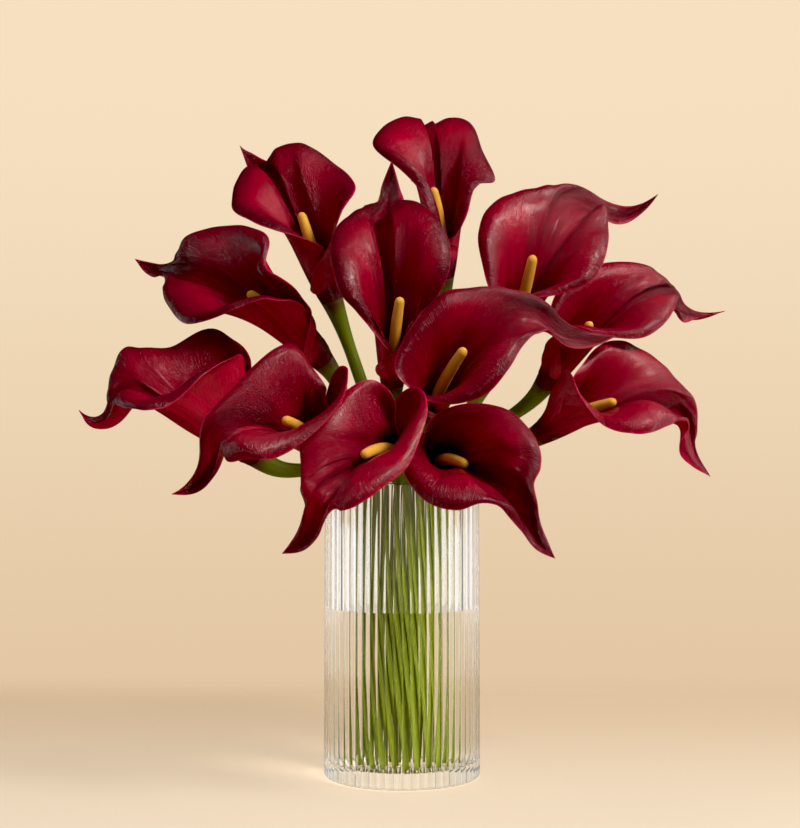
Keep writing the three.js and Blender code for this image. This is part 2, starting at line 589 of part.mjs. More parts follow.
const glass = new THREE.MeshStandardMaterial({ color: 0xdfe6e2, roughness: 0.05, metalness: 0 });
const water = new THREE.MeshStandardMaterial({ color: 0xe4ece6, roughness: 0.02, metalness: 0 });
const stalk = new THREE.MeshStandardMaterial({ color: 0x6c8428, roughness: 0.45, metalness: 0 });
const petal = new THREE.MeshStandardMaterial({ color: 0x7a0c26, roughness: 0.38, metalness: 0 });
const pollen = new THREE.MeshStandardMaterial({ color: 0xd9a032, roughness: 0.7, metalness: 0 });

function named(name, geometry, material) {
  const mesh = new THREE.Mesh(geometry, material.clone());
  mesh.name = name;
  return mesh;
}

const bouquet = new THREE.Group();
bouquet.add(named('vase', vaseGeometry(), glass));
bouquet.add(named('water', waterGeometry(), water));

BLOOMS.forEach((bloom, i) => {
  const number = String(i + 1).padStart(2, '0');
  bouquet.add(named(`stem_${number}`, loft(stemRings(bloom, 0, 0)), stalk));
  const head = new THREE.Group();
  head.position.set(...bloom.foot);
  head.quaternion.setFromRotationMatrix(new THREE.Matrix4().makeBasis(...headAxes(bloom)));
  head.scale.setScalar(bloom.size);
  head.add(named(`spathe_${number}`, spatheGeometry(bloom), petal));
  head.add(named(`spadix_${number}`, spadixGeometry(bloom), pollen));
  bouquet.add(head);
});

export default bouquet;
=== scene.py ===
import math

import bpy
import numpy as np
from bpy.props import FloatProperty, FloatVectorProperty, IntProperty, PointerProperty
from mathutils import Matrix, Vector


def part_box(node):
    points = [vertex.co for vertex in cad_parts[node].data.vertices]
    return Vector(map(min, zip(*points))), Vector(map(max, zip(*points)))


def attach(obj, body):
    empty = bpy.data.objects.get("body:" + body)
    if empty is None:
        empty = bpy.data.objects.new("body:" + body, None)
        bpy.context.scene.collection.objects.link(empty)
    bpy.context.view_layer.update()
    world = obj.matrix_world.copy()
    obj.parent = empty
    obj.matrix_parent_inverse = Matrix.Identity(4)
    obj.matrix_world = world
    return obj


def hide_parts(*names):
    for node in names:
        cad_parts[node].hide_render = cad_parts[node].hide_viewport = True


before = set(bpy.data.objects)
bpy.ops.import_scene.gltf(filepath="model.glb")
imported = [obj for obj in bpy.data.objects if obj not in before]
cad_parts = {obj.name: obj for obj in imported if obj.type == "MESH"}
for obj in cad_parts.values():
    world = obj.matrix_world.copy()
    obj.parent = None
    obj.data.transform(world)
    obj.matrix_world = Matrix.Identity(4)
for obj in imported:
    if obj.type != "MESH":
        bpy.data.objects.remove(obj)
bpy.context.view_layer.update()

bl_info = {
    "name": "Calla lilies in a ribbed vase",
    "version": (1, 0, 0),
    "blender": (4, 5, 0),
    "location": "3D View > Sidebar > Callas",
    "description": "A dozen wine-red calla lilies standing in a ribbed glass vase of water",
    "category": "Object",
}

# ---- sizes, in metres unless a name says otherwise -----------------------------------------

MM = 0.001

VASE_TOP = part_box("vase")[1].z
WATER_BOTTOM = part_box("water")[0].z
WATER_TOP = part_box("water")[1].z
FLOOR_GAP = 0.3 * MM              # between the vase's floor and the CAD water

WAIST_HEIGHT = 84 * MM            # where the stems stand closest together
OUTER_WAIST = 15.4 * MM           # radius of the outer ring of stems at the waist
INNER_WAIST = 5.7 * MM
OUTER_SPLAY = 22 * MM             # sideways travel of a stem from the waist to the floor
INNER_SPLAY = 8 * MM
TWIST_SHARE = 0.8                 # share of its splay by which a stem swings round the bundle
ABOVE_WATER = 6 * MM              # the stems run straight up to this height above the water
NECK_LENGTH = 42 * MM             # over this length a stem swells into its bloom
NECK_SWELL = 3.2 * MM
UNDER_BLOOM = 15 * MM             # a stem runs straight into its bloom over this length

BASE_RADIUS = 7.6 * MM            # of a bloom's tube where it grows from the stem
OVERLAP_OUT = 1.8 * MM            # how far the outer margin stands off the tube
OVERLAP_IN = 0.8 * MM             # how far the inner margin is tucked in
BASE_LAP = 0.25                   # share of both that is left at the base
PLUG_BOTTOM = -5 * MM             # the solid base inside the tube
PLUG_TOP = 5 * MM
PLUG_MOUTH = 8.8 * MM             # its radius at the top
PLUG_SWELL = 0.25                 # how far its side bulges between bottom and top
PLUG_RINGS = 8
PLUG_SIDES = 48
STEM_RADIUS = 4.2 * MM            # below the neck
TAIL_ROOT = 12 * MM               # how far before its root a tail starts to bend
TAIL_STEPS = 40
DIVE_END = 0.5                    # share of the tail's length where its dive is complete
CURL_START = 0.4                  # and where its curl begins
LAST_ROW = 13                     # the row where a margin ends at the base
LAP_ROW = 9                       # the row where the two sides start to lap
LAP_SPAN = 3                      # and the rows over which they part
TILT_START = 3                    # the two margins can stand unequally between these rows
TILT_END = 12
TILT_IN = 2                       # and the rows over which that comes in
TILT_OUT = 3                      # and goes out again
BASE_LEAN = 0.16                  # how much a sheet already leans out at the base
BASE_PULL = 0.45                  # share of its chord along which a sheet leaves the base
RIM_PULL = 0.38                   # and along which it arrives at the margin

SPADIX_LENGTH = 47 * MM
SPADIX_RADIUS = 3.5 * MM
SPADIX_FOOT = PLUG_TOP + FLOOR_GAP
SPADIX_RINGS = 150
SPADIX_SIDES = 72
FLORET_SPIRALS = 12               # rows of florets that wind each way round a spadix
FLORET_TURNS = 22                 # and how often they go round it
DOME_START = 0.93                 # share of a spadix's length where its round tip starts
DOME_SPAN = 0.0701                # just over the rest, so that the last ring is no point

COLUMNS_PER_ROW = 7               # mesh columns between two rows of the margin
SHEET_ROWS = 54                   # mesh rows from the base of a spathe to its margin
ROW_CROWDING = 1.5                # how much closer they stand towards the margin
LAY_WIDTH = 0.24                  # of a spathe's UV map, from one end of its margin to the other
SEED = 12

# The photograph's camera, worked out from the picture's 800 by 828 pixels.
PICTURE_HEIGHT_PX = 828
FOCAL_LENGTH_PX = 1384
SENSOR = 36                       # of the camera, on the picture's longer side
CAMERA_PLACE = (-1.3 * MM, -900 * MM, 191 * MM)
CAMERA_RISE = 2.6                 # degrees above the horizontal


# foot is the middle of the tube's base. aim is the way the tube points and tail the side its
# tip leans to. The rest is in the bloom's own frame, Z along aim and X towards tail: reach is
# how far the limb goes out before the tail starts, spread its half width, back and front the
# heights of the margin behind and in front, chin how far the front stands out, neck the
# tail's half width, pinch how far the sides draw in towards the front, length the tail's
# length. dive and curl pitch the tail down and then up again, sway and hook turn it sideways,
# in degrees. lift and slant raise and push out the +Y margin over the -Y one. lap is the
# margin that lies outside where they cross, 1 for +Y. ring and turn place the stem in the
# vase, over is where it passes the rim, and spadix is how far the spadix's tip leans. dusk is
# how dark the sheet is along its margin, and fold the share of the fold along the midrib that
# a bloom shows. moved shifts single rows of the margin to the right, back and up in the
# bouquet's frame, with the rows of the -Y margin negative. Lengths here are millimetres.
# The shapes, places and leans were fitted to points read off the flowers' outlines in the
# photograph, from guesses of their depth, and then rounded. The moves were worked out from
# such points as well.
BLOOMS = [
    dict(foot=(-49, 28, 315), aim=(-0.35, -0.24, 0.91), tail=(-0.37, 0.93, 0.09), size=1.08,
         reach=44, spread=33, back=90, front=32, chin=30, neck=11, pinch=-0.5, length=50,
         dive=12, curl=-86, sway=-7, hook=3, lift=-4, slant=-3, lap=-1,
         ring="outer", turn=101, over=(-8, 33, 190), spadix=(5, -3), dusk=0.87,
         moved={-11: (2, 0, -1), -10: (0, 0, 7), -9: (4, 0, 4), -8: (5, 0, -2), -6: (0, 0, 2),
                -5: (-3, 0, 1), -4: (-3, 0, -2), -2: (4, 0, 5), -1: (3, 0, 4), 0: (2, 0, 1),
                1: (6, 0, 6), 2: (7, 0, 7), 3: (5, 0, 4), 4: (6, 0, 4), 5: (6, 0, 4),
                6: (4, 0, -2), 7: (1, 0, -8), 8: (6, 0, -4), 9: (6, 0, 0), 11: (-1, 0, -2)}),
    dict(foot=(29, 58, 336), aim=(-0.02, -0.50, 0.86), tail=(-0.23, 0.84, 0.49), size=1.06,
         reach=68, spread=39, back=82, front=31, chin=15, neck=9, pinch=1.3, length=50,
         dive=84, curl=-8, sway=4, hook=2, lift=3, slant=-1, lap=-1,
         ring="inner", turn=135, over=(0, 20, 190), spadix=(11, 4), dusk=0.82, fold=0.3,
         moved={-11: (4, 0, -1), -10: (-3, 0, 6), -9: (5, 0, 10), -8: (6, 0, -4),
                -7: (-5, 0, -1), -6: (2, 0, 3), -5: (3, 0, 2), -4: (3, 0, -2), -3: (5, 0, 1),
                4: (10, 0, 2), 5: (7, 0, 3), 6: (4, 0, 2), 7: (-1, 0, 2), 8: (2, 0, 6),
                9: (-1, 0, 7), 10: (5, 0, 3), 11: (-1, 0, -6)}),
    dict(foot=(-6, -20, 255), aim=(0.03, -0.56, 0.83), tail=(-0.23, 0.81, 0.55), size=1.04,
         reach=62, spread=35, back=86, front=26, chin=10, neck=8, pinch=0.2, length=58,
         dive=26, curl=-105, sway=-25, hook=2, lift=-6, slant=1, lap=-1,
         ring="inner", turn=255, over=(-3, -14, 190), spadix=(3, -4), dusk=0.92,
         moved={-11: (4, 0, 4), -10: (-1, 0, 10), -9: (1, 0, 5), -8: (1, 0, 5), -7: (1, 0, 3),
                -6: (0, 0, 3), -5: (1, 0, 3), -3: (8, 0, 1), -2: (11, 0, 3), -1: (7, 0, 0),
                0: (4, 0, 2), 1: (2, 0, 0), 2: (4, 0, 1), 4: (1, 0, 2), 7: (0, 0, 3),
                9: (0, 0, 2), 10: (-2, 0, 4), 11: (-3, 0, -3)}),
    dict(foot=(74, 12, 287), aim=(0.16, -0.72, 0.68), tail=(0.42, 0.66, 0.61), size=1.09,
         reach=61, spread=39, back=66, front=34, chin=20, neck=13, pinch=0.3, length=66,
         dive=37, curl=-98, sway=-60, hook=2, lift=0, slant=-2, lap=-1,
         ring="inner", turn=15, over=(18, 4, 190), spadix=(8, 3), dusk=0.62,
         moved={-11: (0, 0, 2), -10: (-3, 0, 9), -9: (0, 0, 6), -8: (1, 0, 3), -7: (-3, 0, 5),
                -6: (-3, 0, 3), -5: (2, 0, 5), -4: (6, 0, 2), -3: (4, 0, -3), -2: (3, 0, -3),
                2: (-1, 0, 3), 3: (-1, 0, 2), 4: (2, 0, 3), 6: (-2, 0, 0), 7: (-1, 0, 2),
                8: (0, 0, 3), 9: (0, 0, 3)}),
    dict(foot=(-56, 15, 272), aim=(-0.54, -0.56, 0.63), tail=(-0.66, 0.74, 0.10), size=1.15,
         reach=70, spread=34, back=75, front=42, chin=23, neck=9, pinch=1.3, length=48,
         dive=18, curl=-48, sway=-5, hook=-4, lift=-6, slant=-1, lap=-1,
         ring="outer", turn=141, over=(-26, 21, 190), spadix=(15, 1), dusk=0.8,
         moved={-12: (6, 0, 5), -11: (7, 0, -3), -10: (-9, 0, -5), -9: (-16, 0, 3),
                -8: (-3, 0, 2), -7: (0, 0, -2), -6: (2, 0, 0), -5: (-1, 0, 3), -4: (-3, 0, 2),
                7: (-3, 0, -2), 8: (-4, 0, 2), 9: (-10, 0, 4), 10: (-3, 0, 11), 11: (5, 0, -1),
                12: (-4, 0, -5)}),
    dict(foot=(100, 37, 258), aim=(0.46, -0.57, 0.68), tail=(0.78, 0.62, 0.00), size=1.02,
         reach=59, spread=33, back=84, front=38, chin=22, neck=10, pinch=-0.2, length=62,
         dive=44, curl=-84, sway=4, hook=-18, lift=1, slant=3, lap=-1,
         ring="outer", turn=61, over=(22, 28, 190), spadix=(-2, -3), dusk=0.47,
         moved={-11: (1, 0, 2), -10: (5, 0, 10), -9: (5, 0, 6), -8: (7, 0, 1), -7: (3, 0, 3),
                -6: (-4, 0, 7), -5: (-6, 0, 8), -4: (-7, 0, 1), -3: (-11, 0, -2),
                -2: (-7, 0, -3), -1: (-5, 0, 2), 2: (0, 0, 2), 3: (-2, 0, 2), 5: (-3, 0, 1)}),
    dict(foot=(19, -28, 234), aim=(0.20, -0.81, 0.56), tail=(0.82, 0.45, 0.36), size=1.06,
         reach=48, spread=34, back=70, front=31, chin=24, neck=16, pinch=-0.1, length=73,
         dive=47, curl=-54, sway=-33, hook=15, lift=-1, slant=3, lap=1,
         ring="outer", turn=341, over=(27, -10, 188), spadix=(9, 0), dusk=0.72,
         moved={-11: (-2, 0, 1), -10: (3, 0, 1), -9: (3, 0, 1), -7: (-3, 0, 3), -6: (-7, 0, 2),
                -5: (-3, 0, 2), -4: (3, 0, 0), -3: (0, 0, -2), -2: (0, 0, -2), 5: (-4, 0, -2),
                6: (-6, 0, -2), 7: (-4, 0, -1), 8: (-1, 0, -1), 10: (-2, 0, 1)}),
    dict(foot=(-98, -5, 208), aim=(-0.70, -0.41, 0.59), tail=(-0.66, 0.05, -0.75), size=1.2,
         reach=24, spread=36, back=80, front=40, chin=42, neck=12, pinch=0.1, length=25,
         dive=36, curl=-136, sway=7, hook=-12, lift=-2, slant=11, lap=1,
         ring="outer", turn=181, over=(-36, 0, 192), spadix=(0, 0), dusk=0.85,
         moved={-11: (7, 0, -2), -10: (-3, 0, -3), -9: (2, 0, 5), -8: (10, 0, 3), -7: (2, 0, 0),
                -6: (1, 0, 5), 5: (1, 0, 3), 6: (2, 0, 2), 7: (5, 0, 0), 8: (8, 0, 3),
                9: (-6, 0, -4), 10: (-10, 0, -8), 11: (1, 0, -2)}),
    dict(foot=(-47, -37, 205), aim=(-0.32, -0.81, 0.49), tail=(-0.84, 0.00, -0.54), size=1.06,
         reach=39, spread=35, back=76, front=36, chin=28, neck=12, pinch=-0.2, length=54,
         dive=54, curl=-105, sway=28, hook=-7, lift=7, slant=30, lap=1,
         ring="outer", turn=221, over=(-28, -25, 194), spadix=(8, 4), dusk=0.47,
         moved={-11: (-8, 0, 1), -10: (-6, 0, -5), -9: (-1, 0, -7), -8: (3, 0, -2),
                -5: (-3, 0, -2), -4: (-4, 0, -3), 6: (2, 0, 5), 7: (7, 0, 3), 8: (6, 0, 3),
                9: (-5, -7, 2), 10: (-5, -19, 5), 11: (4, -24, 17), 12: (3, -18, 22)}),
    dict(foot=(93, -5, 221), aim=(0.73, -0.52, 0.45), tail=(0.69, 0.54, -0.49), size=1.01,
         reach=48, spread=44, back=81, front=35, chin=18, neck=9, pinch=0, length=45,
         dive=38, curl=-30, sway=-66, hook=50, lift=-8, slant=-1, lap=-1,
         ring="outer", turn=21, over=(34, 12, 190), spadix=(4, -6), dusk=0.27,
         moved={-12: (1, 0, 14), -11: (0, 0, 12), -10: (1, 0, 4), -9: (-2, 0, -3),
                -8: (-8, 0, -1), -7: (-15, 0, 3), -6: (-16, 0, 8), -5: (-9, 0, 2),
                -4: (-3, 0, -2), -3: (-1, 0, -2), -2: (-5, 0, -3), 0: (5, 0, 1), 1: (2, 0, 1),
                4: (2, 0, 3), 5: (-1, 0, 3), 8: (2, 0, 1), 9: (3, 0, 1), 10: (3, 0, 0),
                11: (0, 0, 8), 12: (0, 0, 8)}),
    dict(foot=(-2, -60, 206), aim=(-0.36, -0.91, 0.14), tail=(-0.39, 0.07, -0.92), size=0.99,
         reach=43, spread=34, back=81, front=21, chin=39, neck=12, pinch=-0.4, length=46,
         dive=43, curl=-42, sway=-7, hook=-34, lift=4, slant=2, lap=1,
         ring="outer", turn=261, over=(5, -30, 190), spadix=(10, 3), dusk=0.27,
         moved={-12: (-12, 0, 4), -11: (-9, 0, -1), -10: (-9, 4, -2), -9: (0, 3, -2),
                -8: (3, 3, -1), -7: (2, 10, -3), -6: (6, 4, 0), -5: (4, 0, 0), -3: (3, 0, 0),
                9: (-3, 0, 2), 10: (-2, 0, -1), 11: (0, 0, 4), 12: (1, 0, 6)}),
    dict(foot=(22, -46, 199), aim=(0.14, -0.97, 0.18), tail=(0.70, 0.00, -0.71), size=1.0,
         reach=45, spread=36, back=84, front=27, chin=21, neck=10, pinch=0, length=42,
         dive=12, curl=-30, sway=-29, hook=26, lift=3, slant=3, lap=-1,
         ring="outer", turn=301, over=(19, -20, 184), spadix=(13, -2), dusk=0.67,
         moved={-8: (-2, 0, 1), -7: (-3, 0, -1), -6: (-6, 0, 1), -5: (-6, 0, 2), -4: (-4, 0, -1),
                -3: (-3, 0, -1), 5: (-1, 0, 3), 6: (-3, 0, 0), 7: (-1, 0, -3)}),
]

# How far the rolled rim reaches in from the margin and how far it turns back, for each row
# of the margin from the tail's tip to the base, in millimetres.
ROLL_WIDTH = (2.0, 3.4, 3.8, 4.2, 4.8, 5.5, 6.5, 7.0, 7.5, 8.0, 8.0, 7.0, 5.0, 3.0)
ROLL_TURN = (0.2, 0.9, 1.2, 1.3, 1.3, 1.4, 1.6, 1.8, 2.1, 2.8, 3.0, 2.2, 0.8, 0.2)
CREASE_FLANK = 32 * MM            # how far the fold along the midrib spreads to each side
CREASE_FALL = 1.15                # how steeply it falls away there
CREASE_END = 9 * MM               # and over what distance it dies out towards the margin
FACE_START = 0.3                  # share of the way to the margin where the fold and waves start
FACE_SPAN = 0.5                   # and the share over which they come in
FOLD_HEIGHT = 0.6 * MM            # of the broad waves in the open face
FOLD_ROWS = 2.6                   # length of such a wave, in rows of the margin
RUFFLE_ROWS = 1.1                 # length of a ruffle's wave
RUFFLE_REACH = 16 * MM            # how far the ruffle reaches in from the margin
RIM_SHARE = 0.45                  # share of its thickness that a sheet keeps at the rim
RIM_TAPER = 5 * MM                # and how far in from the rim it is thinner

ROUTE_STEPS = 24                  # points of a stem's line between two points of its route
RING_GAP = 3 * MM                 # between two rings of a stem's mesh
KINK_REACH = 3                    # rings over which a bend of its route is eased
STEM_REACH = 0.4 * MM             # how far a stem reaches into the base of its bloom


def linear(red, green, blue):
    """A colour given by its screen values from 0 to 255, as Blender's linear values."""
    def one(value):
        part = value / 255
        return part / 12.92 if part <= 0.04045 else ((part + 0.055) / 1.055) ** 2.4
    return (one(red), one(green), one(blue))


# ---- settings in the sidebar ---------------------------------------------------------------

def length_setting(name, description, default):
    return FloatProperty(name=name, description=description, default=default,
                         unit="LENGTH", subtype="DISTANCE", precision=5)


def colour_setting(name, description, default):
    return FloatVectorProperty(name=name, description=description, default=default,
                               subtype="COLOR", min=0.0, max=1.0)


def power_setting(name, description, default):
    return FloatProperty(name=name, description=description, default=default, min=0.0,
                         unit="POWER")


class VaseSettings(bpy.types.PropertyGroup):
    radius: length_setting("Radius", "Of the vase, over its ribs", 50 * MM)
    inside: length_setting("Inside radius", "Of the smooth inner wall", 44.9 * MM)
    rib_depth: length_setting("Rib depth", "From a rib's crest to the groove", 1.1 * MM)
    rib_count: IntProperty(name="Ribs", description="Ribs round the vase", default=60, min=12)
    lip: length_setting("Lip", "Height of the plain lip above the ribs", 1.5 * MM)
    glass_ior: FloatProperty(name="Glass bend", description="Refractive index of the glass",
                             default=1.46, min=1.0, max=2.0)
    water_ior: FloatProperty(name="Water bend", description="Refractive index of the water",
                             default=1.333, min=1.0, max=2.0)
    glass_colour: colour_setting("Glass", "Tint of the clear glass", (0.995, 0.998, 0.995))


class StemSettings(bpy.types.PropertyGroup):
    radius: length_setting("Radius", "Of a stem below its neck", STEM_RADIUS)
    sides: IntProperty(name="Sides", description="Mesh sides of a stem", default=28, min=8)
    low: colour_setting("Low", "Colour of a stem in the water", linear(120, 134, 20))
    high: colour_setting("High", "Colour of a stem above the vase", linear(112, 122, 10))
    neck: colour_setting("Neck", "Colour just under the bloom", linear(92, 34, 30))


class SpatheSettings(bpy.types.PropertyGroup):
    thickness: length_setting("Thickness", "Of the sheet, away from its rim", 1.0 * MM)
    crease: length_setting("Crease", "Depth of the fold along the midrib", 4.2 * MM)
    ruffle: length_setting("Ruffle", "Height of the waves along the margin", 0.35 * MM)
    throat: colour_setting("Throat", "Colour deep in the tube", linear(130, 0, 20))
    limb: colour_setting("Limb", "Colour of the open face", linear(178, 0, 48))
    deep: colour_setting("Deep", "Darker colour in the face", linear(118, 0, 30))
    band: colour_setting("Band", "Dusky colour near the margin", linear(74, 10, 26))
    # The rim colour is a painted highlight: a thin bright line where the rim catches the light.
    rim: colour_setting("Rim", "Bright line on the rim", linear(222, 26, 80))
    # The back's own crimson, set lighter than the face as painted light on the lit outer walls of
    # the tubes.
    outside: colour_setting("Outside", "Colour of the back", linear(210, 2, 56))
    base: colour_setting("Base", "Dark colour low on the back", linear(80, 0, 14))


class SpadixSettings(bpy.types.PropertyGroup):
    pebble: length_setting("Grain", "Height of the fine florets", 0.16 * MM)
    top: colour_setting("Top", "Colour near the tip", linear(244, 186, 62))
    foot: colour_setting("Foot", "Colour lower down", linear(222, 138, 30))


class StageSettings(bpy.types.PropertyGroup):
    floor: colour_setting("Floor", "Pale table top", linear(238, 219, 194))
    wall_low: colour_setting("Wall, low", "Behind the vase", linear(226, 198, 163))
    wall_high: colour_setting("Wall, high", "Above the flowers", linear(246, 224, 192))
    wide: power_setting("Wide light", "Power of the large soft light, which gives no gloss", 0.8)
    top: power_setting("Top light", "Power of the light overhead", 1.6)
    key: power_setting("Key light", "Power of the light on the right", 17.0)
    side: power_setting("Side light", "Power of the light on the left, which gives no gloss", 0.6)
    gloss: power_setting("Gloss light", "Power of the light that only gives gloss", 10.0)
    strips: power_setting("Strip lights", "Power of each tall strip beside the vase", 0.6)


# ---- curves --------------------------------------------------------------------------------

def smooth(value):
    """0 to 1 with a soft start and end."""
    t = np.clip(value, 0.0, 1.0)
    return t * t * (3.0 - 2.0 * t)


def unit(vectors):
    return vectors / np.linalg.norm(vectors, axis=-1, keepdims=True)


def through(rows, places):
    """Catmull-Rom curve through rows of numbers, at places counted in rows."""
    last = len(rows) - 1
    reached = np.vstack((2 * rows[0] - rows[1], rows, 2 * rows[-1] - rows[-2]))
    i = np.minimum(np.floor(places).astype(int), last - 1)
    t = (places - i)[:, None]
    before, value, following, after = (reached[i + k] for k in range(4))
    slope = (following - before) * t
    bend = (2 * before - 5 * value + 4 * following - after) * t ** 2
    turn = (3 * value - before - 3 * following + after) * t ** 3
    return value + 0.5 * (slope + bend + turn)


def centripetal(points, steps):
    """Centripetal Catmull-Rom curve through points, whose first span is straight."""
    reached = np.vstack((2 * points[0] - points[1], points, 2 * points[-1] - points[-2]))
    made = [points[0]]
    for span in range(len(points) - 1):
        p0, p1, p2, p3 = reached[span:span + 4]
        gaps = [max(np.linalg.norm(b - a), 1e-9) ** 0.5 for a, b in ((p0, p1), (p1, p2), (p2, p3))]
        t1 = (p1 - p0) / gaps[0] - (p2 - p0) / (gaps[0] + gaps[1]) + (p2 - p1) / gaps[1]
        t2 = (p2 - p1) / gaps[1] - (p3 - p1) / (gaps[1] + gaps[2]) + (p3 - p2) / gaps[2]
        t1, t2 = t1 * gaps[1], t2 * gaps[1]
        for step in range(1, steps + 1):
            f = step / steps
            if span == 0:
                made.append(p1 + (p2 - p1) * f)
                continue
            made.append(p1 + t1 * f + (3 * (p2 - p1) - 2 * t1 - t2) * f ** 2
                        + (2 * (p1 - p2) + t1 + t2) * f ** 3)
    return np.array(made)


def turns(count):
    """Angles of count points spaced evenly round a circle."""
    return np.arange(count) / count * 2 * math.pi


def lengths_along(points):
    """How far each point of a line is from its start."""
    steps = np.linalg.norm(np.diff(points, axis=0), axis=1)
    return np.concatenate(([0.0], np.cumsum(steps)))


def spaced(points, gap):
    """The same line with its points an even gap apart."""
    far = lengths_along(points)
    even = np.linspace(0.0, far[-1], max(int(far[-1] / gap), 2) + 1)
    return np.column_stack([np.interp(even, far, points[:, k]) for k in range(3)])


def eased(points, reach):
    """The line with its kinks eased over reach points, and its ends kept."""
    weights = np.exp(-0.5 * (np.arange(-2 * reach, 2 * reach + 1) / reach) ** 2)
    weights /= weights.sum()
    start = 2 * points[0] - points[2 * reach:0:-1]
    end = 2 * points[-1] - points[-2:-2 * reach - 2:-1]
    padded = np.vstack((start, points, end))
    return np.column_stack([np.convolve(padded[:, k], weights, "valid") for k in range(3)])


# ---- meshes --------------------------------------------------------------------------------

def grid_faces(columns, rows, start=0, closed=False, turned=False):
    """Quads over columns of rows points, counted from start."""
    c = np.arange(columns if closed else columns - 1)[:, None]
    r = np.arange(rows - 1)[None, :]
    here = start + c * rows + r
    ahead = start + (c + 1) % columns * rows + r
    quads = np.stack((here, ahead, ahead + 1, here + 1), axis=-1).reshape(-1, 4)
    return (quads[:, ::-1] if turned else quads).tolist()


def fan(centre, ring, turned=False):
    """Triangles from a centre point to a closed ring of points."""
    pairs = zip(ring, ring[1:] + ring[:1])
    return [[centre, b, a] if turned else [centre, a, b] for a, b in pairs]


def piece(name, points, faces, material, node, lay=None, marks=None, sharp=None):
    """A smooth mesh that stands for a CAD node. lay is a UV for each point, marks are numbers
    for each point, and sharp is the angle past which an edge is not smoothed."""
    mesh = bpy.data.meshes.new(name)
    mesh.from_pydata(points.tolist(), [], faces)
    mesh.update()
    mesh.shade_smooth()
    if sharp is not None:
        mesh.set_sharp_from_angle(angle=sharp)
    if lay is not None:
        corners = np.empty(len(mesh.loops), dtype=np.int32)
        mesh.loops.foreach_get("vertex_index", corners)
        layer = mesh.uv_layers.new(name="lay")
        layer.data.foreach_set("uv", lay[corners].astype(np.float32).ravel())
    for key, values in (marks or {}).items():
        mark = mesh.attributes.new(key, "FLOAT", "POINT")
        mark.data.foreach_set("value", np.asarray(values, dtype=np.float32))
    mesh.materials.append(material)
    made = bpy.data.objects.new(name, mesh)
    bpy.context.scene.collection.objects.link(made)
    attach(made, "root")
    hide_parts(node)
    return made


def tube(centres, radii, sides, start=None, end=None):
    """Rings round a line, square to it or to the given ends, as sides by rings of points."""
    along = np.gradient(centres, axis=0)
    if start is not None:
        along[0] = start
    if end is not None:
        along[-1] = end
    along = unit(along)
    across = np.empty_like(along)
    last = np.array((1.0, 0.0, 0.0))
    for i, way in enumerate(along):
        last = last - way * last.dot(way)
        last = last / np.linalg.norm(last)
        across[i] = last
    third = np.cross(along, across)
    angle = turns(sides)
    radii = np.asarray(radii)
    if radii.ndim == 1:
        radii = np.broadcast_to(radii, (sides, len(radii)))
    return (centres[None] + (radii * np.cos(angle)[:, None])[..., None] * across[None]
            + (radii * np.sin(angle)[:, None])[..., None] * third[None])


def capped_tube(points):
    """Points and faces of a tube of sides by rings of points, closed at both ends."""
    sides, rings, _ = points.shape
    flat = points.reshape(-1, 3)
    ends = np.array((points[:, 0].mean(axis=0), points[:, -1].mean(axis=0)))
    faces = grid_faces(sides, rings, closed=True)
    first = [s * rings for s in range(sides)]
    last = [s * rings + rings - 1 for s in range(sides)]
    faces += fan(len(flat), first, turned=True)
    faces += fan(len(flat) + 1, last)
    return np.vstack((flat, ends)), faces


def lathe(angle, radii, heights):
    """Points and faces of a closed solid turned round the Z axis: radii has a row for each
    angle and a column for each height, from underneath to the last height on the inside."""
    flat = np.stack((radii * np.cos(angle)[:, None], radii * np.sin(angle)[:, None],
                     np.broadcast_to(heights, radii.shape)), axis=-1)
    return capped_tube(flat)


# ---- blooms --------------------------------------------------------------------------------

class Bloom:
    """One bloom's sizes in metres and its place in the bouquet."""

    def __init__(self, number, table):
        self.number = f"{number:02d}"
        lengths = ("reach", "spread", "back", "front", "chin", "neck", "length", "lift", "slant")
        for key, value in table.items():
            setattr(self, key, value * MM if key in lengths else value)
        self.axis = unit(np.array(table["aim"], float))
        lean = np.array(table["tail"], float)
        lean = unit(lean - self.axis * lean.dot(self.axis))
        self.turned = np.column_stack((lean, np.cross(self.axis, lean), self.axis))
        self.foot = np.array(table["foot"], float) * MM
        self.over = np.array(table["over"], float) * MM
        self.spadix = np.array(table["spadix"], float) * MM
        self.moves = np.zeros((2 * LAST_ROW + 1, 3))
        for row, move in self.moved.items():
            self.moves[LAST_ROW + row] = np.array(move) * MM / self.size
        self.moves = self.moves @ self.turned
        self.fold = table.get("fold", 1.0)
        self.random = np.random.default_rng(SEED + number)

    def placed(self, points):
        """Points of the bloom's own frame, in the bouquet's frame."""
        return self.foot + self.size * (points @ self.turned.T)


